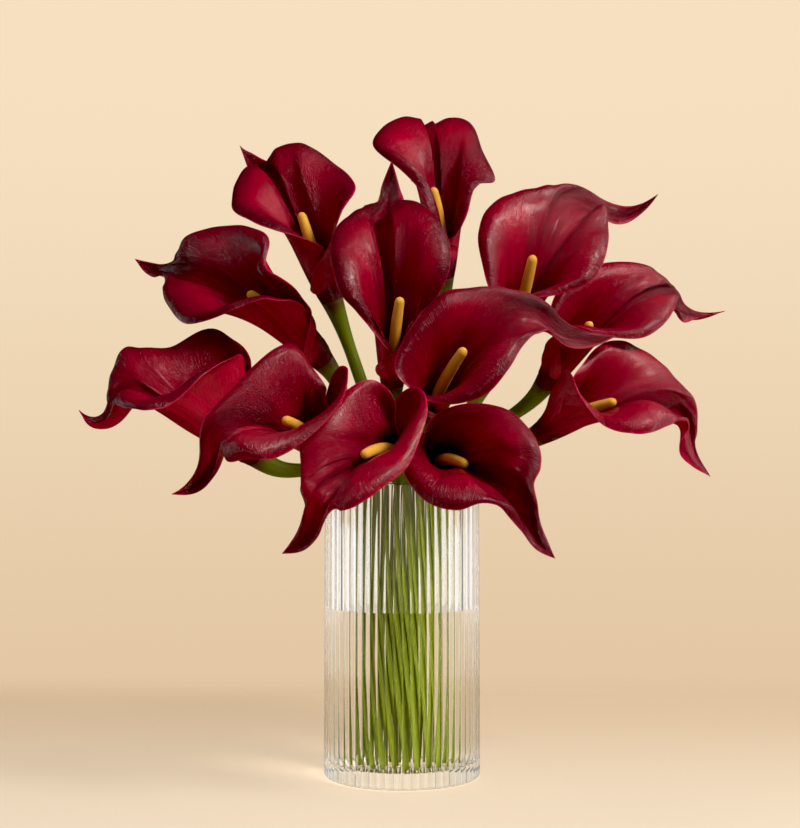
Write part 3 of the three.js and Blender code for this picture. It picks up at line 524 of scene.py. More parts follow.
def margin_rows(bloom, side):
    """One margin from the tail's tip to the base, on side 1 or -1, as rows of x, y, z, how
    far the sheet flares from the axis there, and the angle round the base."""
    reach, spread, back, front = bloom.reach, bloom.spread, bloom.back, bloom.front
    chin, neck, pinch, length = bloom.chin, bloom.neck, bloom.pinch, bloom.length
    drop = back - front
    rows = np.array([
        (reach + length, 0, back, 88, 0),
        (reach + 0.75 * length, 0.40 * neck, back, 88, 4),
        (reach + 0.50 * length, 0.56 * neck, back, 88, 7),
        (reach + 0.25 * length, 0.71 * neck, back, 88, 11),
        (reach, neck, back, 88, 14),
        (0.93 * reach, 0.70 * neck + 0.30 * spread, back + 1 * MM, 90, 28),
        (0.75 * reach, 0.80 * spread, back - 0.02 * drop, 96, 48),
        (0.38 * reach, spread, back - 0.14 * drop, 102, 72),
        (0.02 * reach, (0.98 - 0.16 * pinch) * spread, back - 0.36 * drop, 104, 98),
        (-0.68 * chin, (0.72 - 0.28 * pinch) * spread, back - 0.62 * drop, 98, 124),
        (-chin, 0.34 * spread, back - 0.84 * drop, 72, 152),
        (-0.80 * chin, 0, front, 40, 180),
        (-0.45 * chin, -8 * MM, 0.55 * front, 18, 215),
        (0, -9 * MM, 6 * MM, 10, 250),
    ])
    x, y, z, flare, angle = rows.T
    i = np.arange(len(rows))
    up = smooth((z - front) / drop)
    limb = up * smooth((TILT_END - i) / TILT_OUT) * smooth((i - TILT_START) / TILT_IN)
    tilt = side * limb * y / spread
    return np.column_stack((x + bloom.slant * tilt, side * y, z + bloom.lift * tilt,
                            flare, side * angle))


def along_margin(bloom, places):
    """The margin's rows at places from -LAST_ROW to LAST_ROW, with the tail's tip at 0."""
    minus = through(margin_rows(bloom, -1), np.clip(-places, 0, LAST_ROW))
    plus = through(margin_rows(bloom, 1), np.clip(places, 0, LAST_ROW))
    return np.where((places < 0)[:, None], minus, plus)


def open_sheet(bloom, places, shares):
    """The spathe's middle surface, before its tail is bent: a column of points for each place
    on the margin, at shares of the way from the base to the margin."""
    x, y, z, flare, angle = along_margin(bloom, places).T
    outside = np.sign(places) == bloom.lap
    lapped = smooth((np.abs(places) - LAP_ROW) / LAP_SPAN)
    off = lapped * np.where(outside, OVERLAP_OUT, -OVERLAP_IN)
    away = unit(np.column_stack((x, y)))
    flare, angle = np.radians(flare), np.radians(angle)
    ring = np.column_stack((np.cos(angle), np.sin(angle)))
    zero = np.zeros_like(x)
    start = np.column_stack((ring * (BASE_RADIUS + BASE_LAP * off)[:, None], zero))
    end = np.column_stack((x + away[:, 0] * off, y + away[:, 1] * off, z))
    chord = np.linalg.norm(end - start, axis=1)[:, None]
    rising = np.column_stack((BASE_LEAN * ring, zero + 1))
    arriving = np.column_stack((np.sin(flare)[:, None] * away, np.cos(flare)))
    one = start + BASE_PULL * chord * rising
    two = end - RIM_PULL * chord * arriving
    t = shares[None, :, None]
    start, one, two, end = (p[:, None] for p in (start, one, two, end))
    return ((1 - t) ** 3 * start + 3 * (1 - t) ** 2 * t * one
            + 3 * (1 - t) * t ** 2 * two + t ** 3 * end)


def bent_tail(bloom, points):
    """Points past the tail's root, bent along its curved spine."""
    root = bloom.reach - TAIL_ROOT
    total = TAIL_ROOT + bloom.length
    f = np.arange(TAIL_STEPS + 1) / TAIL_STEPS
    first, second = smooth(f / DIVE_END), smooth((f - CURL_START) / (1 - CURL_START))
    pitch = np.radians(bloom.dive * first + bloom.curl * second)
    yaw = np.radians(bloom.sway * first + bloom.hook * second)
    along = np.column_stack((np.cos(pitch) * np.cos(yaw), np.cos(pitch) * np.sin(yaw),
                             -np.sin(pitch)))
    up = np.column_stack((np.sin(pitch) * np.cos(yaw), np.sin(pitch) * np.sin(yaw),
                          np.cos(pitch)))
    side = np.cross(up, along)
    moves = (along[1:] + along[:-1]) * total / TAIL_STEPS / 2
    place = np.vstack((np.zeros(3), np.cumsum(moves, axis=0))) + (root, 0, bloom.back)
    at = np.clip((points[..., 0] - root) / total, 0, 1) * TAIL_STEPS
    i = np.minimum(at.astype(int), TAIL_STEPS - 1)
    part = (at - i)[..., None]
    spine, rise, wide = (line[i] * (1 - part) + line[i + 1] * part for line in (place, up, side))
    bent = spine + rise * (points[..., 2:] - bloom.back) + wide * points[..., 1:2]
    return np.where(points[..., :1] > root, bent, points)


def moved_rows(bloom, places, shares):
    """How far the bloom's own moves of the margin shift each point of the sheet."""
    moves = through(bloom.moves, np.asarray(places) + LAST_ROW)
    pull = 3 * (1 - shares) * shares ** 2 + shares ** 3
    return moves[:, None] * pull[None, :, None]


def outward(sheet):
    """Normals of a sheet of columns by rows, on the side away from the spadix."""
    ahead = np.gradient(sheet, axis=0)
    above = np.gradient(sheet, axis=1)
    return unit(np.cross(ahead, above))


def margin_distance(sheet, window=36):
    """How far each point of the sheet is from its margin."""
    columns = len(sheet)
    edge = sheet[:, -1]
    nearest = np.full(sheet.shape[:2], 1.0)
    for shift in range(-window, window):
        i = np.clip(np.arange(columns) + shift, 0, columns - 2)
        start = edge[i][:, None]
        run = (edge[i + 1] - edge[i])[:, None]
        share = ((sheet - start) * run).sum(axis=2) / (run ** 2).sum(axis=2)
        foot = start + np.clip(share, 0, 1)[..., None] * run
        nearest = np.minimum(nearest, np.linalg.norm(sheet - foot, axis=2))
    return nearest


def waves(bloom, places, pitch, count=4):
    """Gentle seeded waves along the margin, about pitch rows long, between -1 and 1."""
    total = np.zeros_like(places)
    for _ in range(count):
        length = pitch * bloom.random.uniform(0.7, 1.5)
        total += np.sin(2 * math.pi * places / length + bloom.random.uniform(0, 6.28))
    return total / count * 1.4


def spathe_sheet(bloom, settings):
    """The finished middle surface of a spathe and the marks that its finish reads."""
    columns = 2 * LAST_ROW * COLUMNS_PER_ROW + 1
    places = np.linspace(-LAST_ROW, LAST_ROW, columns)
    share = np.linspace(0, 1, SHEET_ROWS)
    share = 1 - (1 - share) ** ROW_CROWDING
    sheet = open_sheet(bloom, places, share)
    margin = margin_distance(sheet)
    out = outward(sheet)
    row = np.abs(places)
    rows = np.arange(LAST_ROW + 1)
    width = np.interp(row, rows, ROLL_WIDTH)[:, None] * MM
    turn = np.interp(row, rows, ROLL_TURN)[:, None] * MM
    rolled = turn * np.clip(1 - margin / width, 0, 1) ** 2

    rise = smooth((share - FACE_START) / FACE_SPAN)[None]
    flank = np.clip(1 - np.abs(sheet[..., 1]) / CREASE_FLANK, 0, 1) ** CREASE_FALL
    creased = settings.crease * bloom.fold * rise * flank * smooth(margin / CREASE_END)

    quiet = (smooth(row / 5) * (1 - smooth((row - 8) / 2)))[:, None]
    folds = FOLD_HEIGHT * waves(bloom, places, FOLD_ROWS)[:, None] * rise * quiet
    ruffle = settings.ruffle * waves(bloom, places, RUFFLE_ROWS)[:, None] * quiet
    ruffle = ruffle * (1 - smooth(margin / RUFFLE_REACH))
    sheet = sheet + out * (rolled + creased + folds + ruffle)[..., None]
    sheet = bent_tail(bloom, sheet) + moved_rows(bloom, places, share)
    lay = np.zeros(sheet.shape[:2] + (2,))
    lay[..., 0] = places[:, None] / (2 * LAST_ROW) * LAY_WIDTH
    lay[:, 1:, 1] = np.cumsum(np.linalg.norm(np.diff(sheet, axis=1), axis=2), axis=1)
    marks = {"margin": margin, "rise": np.broadcast_to(share[None], margin.shape)}
    return sheet, lay, marks


def base_plug(stem_radius):
    """The solid base of a bloom, as a closed lathe on the bloom's axis that carries on the
    line of its stem."""
    height = np.linspace(PLUG_BOTTOM, PLUG_TOP, PLUG_RINGS)
    share = (height - PLUG_BOTTOM) / (PLUG_TOP - PLUG_BOTTOM)
    bulge = PLUG_SWELL * share * (1 - share)
    radius = stem_radius + (PLUG_MOUTH - stem_radius) * (share + bulge)
    return lathe(turns(PLUG_SIDES), np.broadcast_to(radius, (PLUG_SIDES, PLUG_RINGS)), height)


def make_spathe(bloom, settings, material):
    sheet, lay, marks = spathe_sheet(bloom, settings)
    columns, rows = sheet.shape[:2]
    out = outward(sheet)
    taper = RIM_SHARE + (1 - RIM_SHARE) * smooth(marks["margin"] / RIM_TAPER)
    half = (settings.thickness / 2 * taper)[..., None]
    rim_way = unit(sheet[:, -1] - sheet[:, -2])
    rim = sheet[:, -1] + rim_way * half[:, -1]
    count = columns * rows
    faces = grid_faces(columns, rows)
    faces += grid_faces(columns, rows, start=count, turned=True)
    c = np.arange(columns - 1)
    r = np.arange(rows - 1)
    top = c * rows + rows - 1
    middle = 2 * count + c
    last = (columns - 1) * rows + r
    bottom = c * rows
    strips = (
        (top, top + rows, middle + 1, middle),
        (middle, middle + 1, top + rows + count, top + count),
        (bottom + rows, bottom, bottom + count, bottom + rows + count),
        (r, r + 1, r + 1 + count, r + count),
        (last + 1, last, last + count, last + 1 + count),
    )
    for strip in strips:
        faces += np.column_stack(strip).tolist()
    end = 2 * count + columns - 1
    faces.append([rows - 1, 2 * count, rows - 1 + count])
    faces.append([count - 1, 2 * count - 1, end])
    points = np.vstack(((sheet + out * half).reshape(-1, 3), (sheet - out * half).reshape(-1, 3),
                        rim))
    flat_lay = lay.reshape(-1, 2)
    both = {key: np.concatenate((value.ravel(), value.ravel(), value[:, -1]))
            for key, value in marks.items()}
    both["inside"] = np.concatenate((np.zeros(count), np.ones(count), np.full(columns, 0.5)))
    plug, plug_faces = base_plug(STEM_RADIUS / bloom.size + NECK_SWELL)
    faces += [[i + len(points) for i in face] for face in plug_faces]
    for key, value in {"margin": 0.05, "rise": 0.0, "inside": 0.0}.items():
        both[key] = np.concatenate((both[key], np.full(len(plug), value)))
    angle = np.arctan2(plug[:, 1], plug[:, 0])
    plug_lay = np.column_stack((angle / math.pi * LAY_WIDTH / 2, plug[:, 2]))
    both["dusk"] = np.full(len(points) + len(plug), bloom.dusk)
    piece(f"Spathe_{bloom.number}", bloom.placed(np.vstack((points, plug))), faces, material,
          f"spathe_{bloom.number}", np.vstack((flat_lay, flat_lay, lay[:, -1], plug_lay)),
          both)


def make_spadix(bloom, settings, material):
    f = np.linspace(0, 1, SPADIX_RINGS)
    f = f + 0.35 * (smooth(f) - f) * f
    body = np.interp(f, (0, 0.35, 0.7, 1), (0.9, 1.0, 0.94, 0.8))
    dome = np.sqrt(np.clip(1 - (np.clip(f - DOME_START, 0, 1) / DOME_SPAN) ** 2, 0, 1))
    centres = np.column_stack((bloom.spadix[0] * f ** 2, bloom.spadix[1] * f ** 2,
                               SPADIX_FOOT + SPADIX_LENGTH * f))
    wind = FLORET_SPIRALS * turns(SPADIX_SIDES)[:, None]
    climb = f[None] * FLORET_TURNS * 2 * math.pi
    grain = np.cos(wind + climb) * np.cos(wind - climb)
    radii = SPADIX_RADIUS * body * dome
    radii = radii[None] + settings.pebble * grain * smooth(dome / 0.8)[None] * 0.5
    flat, faces = capped_tube(tube(centres, radii, SPADIX_SIDES, start=(0, 0, 1)))
    height = np.concatenate((np.broadcast_to(f, grain.shape).ravel(), (0, 1)))
    pit = np.concatenate((grain.ravel(), (0, 0)))
    piece(f"Spadix_{bloom.number}", bloom.placed(flat), faces, material,
          f"spadix_{bloom.number}", marks={"height": height, "grain": pit})


# ---- stems ---------------------------------------------------------------------------------

def stem_route(bloom):
    """The middle of a stem: straight through the waist of the bundle, past the rim, to the
    bloom."""
    inner = bloom.ring == "inner"
    waist = INNER_WAIST if inner else OUTER_WAIST
    splay = INNER_SPLAY if inner else OUTER_SPLAY
    angle = math.radians(bloom.turn) - math.atan2(TWIST_SHARE * splay, waist)
    radial = np.array((math.cos(angle), math.sin(angle), 0.0))
    around = np.array((-math.sin(angle), math.cos(angle), 0.0))

    def at(height):
        travel = splay * (height - WAIST_HEIGHT) / (WAIST_HEIGHT - WATER_BOTTOM)
        return radial * waist + around * travel + (0, 0, height)

    top = bloom.foot + bloom.axis * (PLUG_BOTTOM * bloom.size - FLOOR_GAP)
    under = top - bloom.axis * UNDER_BLOOM
    return np.array((at(WATER_BOTTOM), at(WATER_TOP + ABOVE_WATER), bloom.over, under, top))


def make_stem(bloom, settings, material):
    line = spaced(centripetal(stem_route(bloom), ROUTE_STEPS), RING_GAP)
    line = eased(line, KINK_REACH)
    line[-1] += bloom.axis * STEM_REACH
    far = lengths_along(line)
    left = far[-1] - far
    near = np.clip(1 - left / NECK_LENGTH, 0, 1)
    radii = settings.radius + NECK_SWELL * near ** 2 * bloom.size
    sides = settings.sides
    angle = turns(sides)[:, None]
    turn = bloom.random.uniform(0, 6.28, 3)
    facets = 0.012 * np.cos(3 * angle + turn[0]) + 0.010 * np.cos(5 * angle + turn[1])
    facets = facets * (1 - near)[None] + 0.006 * np.sin(far / (9 * MM) + turn[2])[None]
    points = tube(line, radii[None] * (1 + facets), sides, start=(0, 0, 1), end=bloom.axis)
    flat, faces = capped_tube(points)
    count = (sides, len(line))
    round_lay = np.broadcast_to(angle * STEM_RADIUS, count)
    lay = np.column_stack((round_lay.ravel(), np.broadcast_to(far, count).ravel()))
    lay = np.vstack((lay, (0, 0), (0, far[-1])))
    below = np.concatenate((np.broadcast_to(left, count).ravel(), (left[0], 0)))
    tone = np.full(len(flat), bloom.random.uniform(0, 1))
    piece(f"Stem_{bloom.number}", flat, faces, material, f"stem_{bloom.number}",
          lay, {"below": below, "tone": tone})


# ---- vase and water ------------------------------------------------------------------------

FILLET = 3 * MM                   # between the inner wall and the floor of the vase
MENISCUS = 0.15 * MM              # how far the water climbs at the glass
WETTED = -0.02 * MM               # how far the water's skin lies inside the glass
RIB_STEPS = 12                    # mesh sides of the vase in one rib
WATER_SIDES = 180


def inner_corner(radius, floor, inset):
    """Radius and height down the inner wall, round the fillet and over the floor."""
    turn = np.linspace(0, math.pi / 2, 7)
    inside = FILLET + inset
    r = radius + inset - inside + inside * np.cos(turn)
    z = floor - inset + inside - inside * np.sin(turn)
    return list(zip(r, z))


def second_finish(made, material, chosen):
    """Gives the chosen faces of a piece another material."""
    made.data.materials.append(material)
    made.data.polygons.foreach_set("material_index", np.asarray(chosen, dtype=np.int32))


def face_centres(made):
    flat = np.empty(3 * len(made.data.polygons), dtype=np.float32)
    made.data.polygons.foreach_get("center", flat)
    return flat.reshape(-1, 3)


def make_vase(settings, material, wetted):
    around = settings.rib_count * RIB_STEPS
    across = np.arange(around) % RIB_STEPS / RIB_STEPS * 2 - 1
    half = math.pi * settings.radius / settings.rib_count
    depth = settings.rib_depth
    curve = (half ** 2 + depth ** 2) / (2 * depth)
    fall = curve - np.sqrt(curve ** 2 - (half * across) ** 2)
    top, lip = VASE_TOP, settings.lip
    floor = WATER_BOTTOM - FLOOR_GAP
    # inset from the rib's crest, height, and how much of the rib shows there
    outer = [(13.0, 0.0, 0), (1.9, 0.0, 0.6), (1.2, 0.15, 0.85), (0.6, 0.6, 1), (0.15, 1.3, 1),
             (0.0, 2.2, 1)]
    outer = [(settings.radius - inset * MM, z * MM, rib) for inset, z, rib in outer]
    outer += [(settings.radius, z, 1) for z in np.linspace(20 * MM, top - 12 * MM, 9)]
    crest = settings.radius
    outer += [(crest, top - lip - 1.3 * MM, 1), (crest - 0.5 * MM, top - lip - 0.4 * MM, 0.5),
              (crest - 1.0 * MM, top - lip, 0), (crest - 0.5 * MM, top - lip + 0.3 * MM, 0),
              (crest - 0.4 * MM, top - 0.8 * MM, 0), (crest - 0.8 * MM, top - 0.2 * MM, 0),
              (crest - 1.6 * MM, top, 0)]
    inside = settings.inside
    inner = [(inside + 1.2 * MM, top, 0), (inside + 0.35 * MM, top - 0.3 * MM, 0),
             (inside, top - 1.1 * MM, 0), (inside, top - 40 * MM, 0),
             (inside, WATER_TOP + MENISCUS, 0)]
    inner += [(r, z, 0) for r, z in inner_corner(inside, floor, 0.0)]
    radii, heights, ribs = np.array(outer + inner).T
    points, faces = lathe(turns(around), radii - fall[:, None] * ribs, heights)
    made = piece("Vase", points, faces, material, "vase", sharp=math.radians(32))
    centres = face_centres(made)
    radius = np.hypot(centres[:, 0], centres[:, 1])
    low, high = floor - 0.1 * MM, WATER_TOP + MENISCUS
    second_finish(made, wetted, (radius < inside + 0.1 * MM) & (centres[:, 2] > low)
                  & (centres[:, 2] < high))


def make_water(settings, material, unseen):
    wall = settings.inside + WETTED
    floor = WATER_BOTTOM - FLOOR_GAP
    profile = inner_corner(settings.inside, floor, WETTED)[::-1]
    profile += [(wall, z) for z in np.linspace(0.2, 0.95, 5) * WATER_TOP]
    profile.append((wall, WATER_TOP + MENISCUS))
    for away in (0.15, 0.35, 0.6, 1.0, 1.5, 2.2, 3.2, 5.0, 9.0, 20.0, 32.0):
        climb = MENISCUS * math.exp(-away / 1.1)
        profile.append((wall - away * MM, WATER_TOP + climb))
    radii, heights = np.array(profile).T
    points, faces = lathe(turns(WATER_SIDES), np.tile(radii, (WATER_SIDES, 1)), heights)
    made = piece("Water", points, faces, material, "water")
    second_finish(made, unseen, face_centres(made)[:, 2] < WATER_TOP - 0.1 * MM)


# ---- nodes ---------------------------------------------------------------------------------

class Nodes:
    """Adds nodes to one tree and joins them."""

    def __init__(self, tree):
        self.tree = tree

    def add(self, kind, inputs=None, **settings):
        node = self.tree.nodes.new("ShaderNode" + kind)
        for key, value in settings.items():
            setattr(node, key, value)
        for key, value in (inputs or {}).items():
            self.put(node.inputs[key], value)
        return node

    def put(self, socket, value):
        if isinstance(value, bpy.types.NodeSocket):
            self.tree.links.new(value, socket)
        elif socket.type == "RGBA" and len(value) == 3:
            socket.default_value = (*value, 1.0)
        else:
            socket.default_value = value

    def math(self, operation, a, b=0.0, clamp=False):
        node = self.add("Math", {0: a, 1: b}, operation=operation, use_clamp=clamp)
        return node.outputs[0]

    def blend(self, factor, a, b, way="MIX"):
        node = self.add("Mix", {0: factor, 6: a, 7: b}, data_type="RGBA", blend_type=way)
        return node.outputs[2]

    def stretch(self, value, low, high, to_low=0.0, to_high=1.0, steps="SMOOTHSTEP"):
        node = self.add("MapRange", {"Value": value, "From Min": low, "From Max": high,
                                     "To Min": to_low, "To Max": to_high},
                        interpolation_type=steps)
        return node.outputs["Result"]

    def noise(self, place, scale, detail=3.0, roughness=0.5, distortion=0.0):
        node = self.add("TexNoise", {"Vector": place, "Scale": scale, "Detail": detail,
                                     "Roughness": roughness, "Distortion": distortion})
        return node.outputs["Fac"]

    def mark(self, name):
        return self.add("Attribute", attribute_name=name).outputs["Fac"]

    def ragged(self, value, noise, amount):
        """The value pushed up and down by a noise, by up to half the amount."""
        off = self.math("SUBTRACT", noise, 0.5)
        return self.math("ADD", value, self.math("MULTIPLY", off, amount))

    def mix_shaders(self, factor, a, b):
        return self.add("MixShader", {0: factor, 1: a, 2: b}).outputs["Shader"]

    def ridge(self, value, sharpness):
        """Thin bright lines where the value crosses a half."""
        off = self.math("ABSOLUTE", self.math("SUBTRACT", value, 0.5))
        line = self.math("SUBTRACT", 1.0, self.math("MULTIPLY", off, 4.0), clamp=True)
        return self.math("POWER", line, sharpness)


def group(name, inputs, outputs, build):
    """A shader node group with named inputs and outputs, built once."""
    made = bpy.data.node_groups.get(name)
    if made:
        return made
    made = bpy.data.node_groups.new(name, "ShaderNodeTree")
    for label, kind, default in inputs:
        socket = made.interface.new_socket(name=label, in_out="INPUT", socket_type=kind)
        if default is not None:
            socket.default_value = default
    for label, kind in outputs:
        made.interface.new_socket(name=label, in_out="OUTPUT", socket_type=kind)
    nodes = Nodes(made)
    given = made.nodes.new("NodeGroupInput").outputs
    result = made.nodes.new("NodeGroupOutput").inputs
    for label, value in build(nodes, given).items():
        nodes.put(result[label], value)
    return made


def use_group(nodes, made, inputs):
    return nodes.add("Group", inputs, node_tree=made).outputs


def vein_group():
    """Fine lines that run from the base to the margin, as a mask and a height."""
    def build(nodes, given):
        sides = nodes.add("SeparateXYZ", {"Vector": given["Lay"]}).outputs
        wander = nodes.noise(given["Lay"], 34.0, 2.0)
        swaying = nodes.ragged(sides["X"], wander, given["Wander"])
        u = nodes.math("MULTIPLY", swaying, given["Lines"])
        v = nodes.math("MULTIPLY", sides["Y"], nodes.math("MULTIPLY", given["Lines"], 0.045))
        place = nodes.add("CombineXYZ", {"X": u, "Y": v}).outputs["Vector"]
        fine = nodes.noise(place, 1.0, 3.0, 0.62)
        broad = nodes.noise(place, 0.31, 2.0, 0.5)
        line = nodes.ridge(fine, 2.2)
        return {"Line": line, "Height": nodes.math("MULTIPLY", line, -1.0), "Broad": broad}
    return group("Lengthwise veins",
                 [("Lay", "NodeSocketVector", None), ("Lines", "NodeSocketFloat", 700.0),
                  ("Wander", "NodeSocketFloat", 0.006)],
                 [("Line", "NodeSocketFloat"), ("Height", "NodeSocketFloat"),
                  ("Broad", "NodeSocketFloat")], build)


def wrinkle_group():
    """Short raised wrinkles, as in waxy skin, gathered in patches."""
    def build(nodes, given):
        place = given["Place"]
        coarse = nodes.ridge(nodes.noise(place, given["Scale"], 3.0, 0.55, 1.6), 1.6)
        finer = nodes.math("MULTIPLY", given["Scale"], 2.3)
        fine = nodes.ridge(nodes.noise(place, finer, 2.0, 0.5, 1.1), 1.4)
        patch = nodes.stretch(nodes.noise(place, given["Patch scale"], 2.0), 0.42, 0.62)
        both = nodes.math("ADD", nodes.math("MULTIPLY", coarse, 0.7),
                          nodes.math("MULTIPLY", fine, 0.3))
        shown = nodes.math("MULTIPLY", both, nodes.stretch(patch, 0.0, 1.0, given["Least"], 1.0))
        return {"Height": shown, "Patch": patch}
    return group("Waxy wrinkles",
                 [("Place", "NodeSocketVector", None), ("Scale", "NodeSocketFloat", 150.0),
                  ("Patch scale", "NodeSocketFloat", 30.0), ("Least", "NodeSocketFloat", 0.25)],
                 [("Height", "NodeSocketFloat"), ("Patch", "NodeSocketFloat")], build)


def mottle_group():
    """Soft uneven patches from Low to High."""
    def build(nodes, given):
        value = nodes.noise(given["Place"], given["Scale"], 4.0, 0.6, 0.4)
        return {"Value": nodes.stretch(value, 0.3, 0.7, given["Low"], given["High"])}
    return group("Mottle",
                 [("Place", "NodeSocketVector", None), ("Scale", "NodeSocketFloat", 40.0),
                  ("Low", "NodeSocketFloat", 0.0), ("High", "NodeSocketFloat", 1.0)],
                 [("Value", "NodeSocketFloat")], build)


# ---- materials -----------------------------------------------------------------------------

def new_material(name):
    """A material's nodes, its Principled shader and the object's own coordinates."""
    made = bpy.data.materials.new(name)
    made.use_nodes = True
    made.node_tree.nodes.clear()
    nodes = Nodes(made.node_tree)
    shader = nodes.add("BsdfPrincipled")
    output = nodes.add("OutputMaterial")
    nodes.put(output.inputs["Surface"], shader.outputs["BSDF"])
    place = nodes.add("TexCoord").outputs["Object"]
    return made, nodes, shader, output, place


def set_plain(shader, **values):
    for label, value in values.items():
        socket = shader.inputs[label.replace("_", " ")]
        socket.default_value = (*value, 1.0) if socket.type == "RGBA" else value


def bump(nodes, height, distance, strength=1.0, under=None):
    inputs = {"Height": height, "Distance": distance, "Strength": strength}
    if under is not None:
        inputs["Normal"] = under
    return nodes.add("Bump", inputs).outputs["Normal"]


def spathe_material(settings):
    made, nodes, shader, _, place = new_material("Spathe skin")
    lay = nodes.add("UVMap", uv_map="lay").outputs["UV"]
    inside, margin, rise = nodes.mark("inside"), nodes.mark("margin"), nodes.mark("rise")
    dusk = nodes.mark("dusk")
    veins = use_group(nodes, vein_group(), {"Lay": lay, "Lines": 820.0, "Wander": 0.008})
    along = nodes.add("Mapping", {"Vector": lay, "Scale": (1.0, 0.5, 1.0)}).outputs["Vector"]
    wrinkles = use_group(nodes, wrinkle_group(), {"Place": along, "Scale": 460.0,
                                                  "Patch scale": 26.0, "Least": 0.3})
    mottle = use_group(nodes, mottle_group(), {"Place": place, "Scale": 34.0})["Value"]

    face = nodes.blend(nodes.math("MULTIPLY", mottle, 0.55), settings.limb, settings.deep)
    face = nodes.blend(nodes.stretch(veins["Broad"], 0.38, 0.66, 0.0, 0.3), face, settings.deep)
    depth = nodes.stretch(rise, 0.02, 0.30)
    face = nodes.blend(depth, settings.throat, face)
    near = nodes.stretch(nodes.ragged(margin, veins["Broad"], 0.012), 0.0, 0.019, 1.0, 0.0)
    band = nodes.math("MULTIPLY", near, dusk)
    face = nodes.blend(band, face, settings.band)

    # The back: its own crimson with mottle and veins, set lighter than the face as painted light
    # on the lit outer walls.
    back = nodes.blend(nodes.math("MULTIPLY", mottle, 0.25), settings.outside, settings.deep)
    back = nodes.blend(nodes.stretch(veins["Broad"], 0.38, 0.68, 0.0, 0.2), back, settings.deep)
    low = nodes.stretch(rise, 0.03, 0.24, 0.9, 0.0)
    back = nodes.blend(low, back, settings.base)

    colour = nodes.blend(inside, back, face)
    colour = nodes.blend(nodes.math("MULTIPLY", veins["Line"], 0.3), colour, settings.throat)
    # Painted highlight: a thin bright line along the rim, where the edge catches the light.
    line = nodes.stretch(margin, 0.0001, 0.0010, 0.55, 0.0)
    colour = nodes.blend(line, colour, settings.rim)
    nodes.put(shader.inputs["Base Color"], colour)

    rough = nodes.stretch(mottle, 0.0, 1.0, 0.18, 0.25, "LINEAR")
    rough = nodes.math("SUBTRACT", rough, nodes.math("MULTIPLY", wrinkles["Patch"], 0.04))
    dull = nodes.stretch(margin, 0.0, 0.010, 0.04, 0.0)
    outer = nodes.math("MULTIPLY", low, nodes.math("SUBTRACT", 1.0, inside))
    dull = nodes.math("ADD", dull, nodes.math("MULTIPLY", outer, 0.04))
    nodes.put(shader.inputs["Roughness"], nodes.math("ADD", rough, dull))
    set_plain(shader, Specular_IOR_Level=0.55, Coat_Weight=0.10, Coat_Roughness=0.16)
    normal = bump(nodes, veins["Height"], 0.0002, 1.0)
    normal = bump(nodes, wrinkles["Height"], 0.00065, 1.0, normal)
    nodes.put(shader.inputs["Normal"], normal)
    return made


def spadix_material(settings):
    made, nodes, shader, _, place = new_material("Spadix pollen")
    height, grain = nodes.mark("height"), nodes.mark("grain")
    mottle = use_group(nodes, mottle_group(), {"Place": place, "Scale": 160.0})["Value"]
    colour = nodes.blend(nodes.stretch(height, 0.15, 0.9), settings.foot, settings.top)
    colour = nodes.blend(nodes.math("MULTIPLY", mottle, 0.35), colour, settings.foot)
    # Painted shade: the pits between the florets are darker.
    pit_shade = nodes.stretch(grain, -0.9, 0.2, 0.35, 0.0)
    colour = nodes.blend(pit_shade, colour, linear(168, 92, 14))
    nodes.put(shader.inputs["Base Color"], colour)
    nodes.put(shader.inputs["Roughness"], nodes.stretch(mottle, 0.0, 1.0, 0.5, 0.62, "LINEAR"))
    set_plain(shader, Subsurface_Weight=0.12, Subsurface_Radius=(1.0, 0.5, 0.15),
              Subsurface_Scale=0.0015, Sheen_Weight=0.15, Sheen_Roughness=0.5)
    fine = nodes.noise(place, 1600.0, 2.0)
    nodes.put(shader.inputs["Normal"], bump(nodes, fine, 0.00012, 0.6))
    return made


def stem_material(settings):
    made, nodes, shader, _, place = new_material("Stem skin")
    lay = nodes.add("UVMap", uv_map="lay").outputs["UV"]
    below, tone = nodes.mark("below"), nodes.mark("tone")
    veins = use_group(nodes, vein_group(), {"Lay": lay, "Lines": 1500.0, "Wander": 0.0012})
    mottle = use_group(nodes, mottle_group(), {"Place": place, "Scale": 55.0})["Value"]
    height = nodes.add("SeparateXYZ", {"Vector": place}).outputs["Z"]
    wet = nodes.stretch(height, 0.10, 0.20)
    colour = nodes.blend(wet, settings.low, settings.high)
    lighter = nodes.math("MULTIPLY", mottle, nodes.stretch(tone, 0.0, 1.0, 0.1, 0.5))
    colour = nodes.blend(lighter, colour, settings.low)
    streak = nodes.stretch(veins["Broad"], 0.35, 0.65, 0.0, 0.4)
    colour = nodes.blend(streak, colour, linear(76, 86, 6))
    flush = nodes.stretch(nodes.ragged(below, veins["Broad"], 0.02), 0.0, 0.012, 0.9, 0.0)
    colour = nodes.blend(flush, colour, settings.neck)
    colour = nodes.blend(nodes.math("MULTIPLY", veins["Line"], 0.25), colour, linear(60, 74, 18))
    nodes.put(shader.inputs["Base Color"], colour)
    nodes.put(shader.inputs["Roughness"], nodes.stretch(mottle, 0.0, 1.0, 0.34, 0.48, "LINEAR"))
    set_plain(shader, Specular_IOR_Level=0.25)
    nodes.put(shader.inputs["Normal"], bump(nodes, veins["Height"], 0.00015, 0.7))
    return made


def clear_material(name, colour, bend):
    """Clear and smooth: it bends what is seen through it and lets the light past."""
    made, nodes, shader, output, _ = new_material(name)
    set_plain(shader, Base_Color=colour, Roughness=0.0, IOR=bend, Transmission_Weight=1.0,
              Metallic=0.0)
    passing = nodes.add("BsdfTransparent", {"Color": colour})
    shadow = nodes.add("LightPath").outputs["Is Shadow Ray"]
    mixed = nodes.mix_shaders(shadow, shader.outputs["BSDF"], passing.outputs["BSDF"])
    nodes.put(output.inputs["Surface"], mixed)
    return made


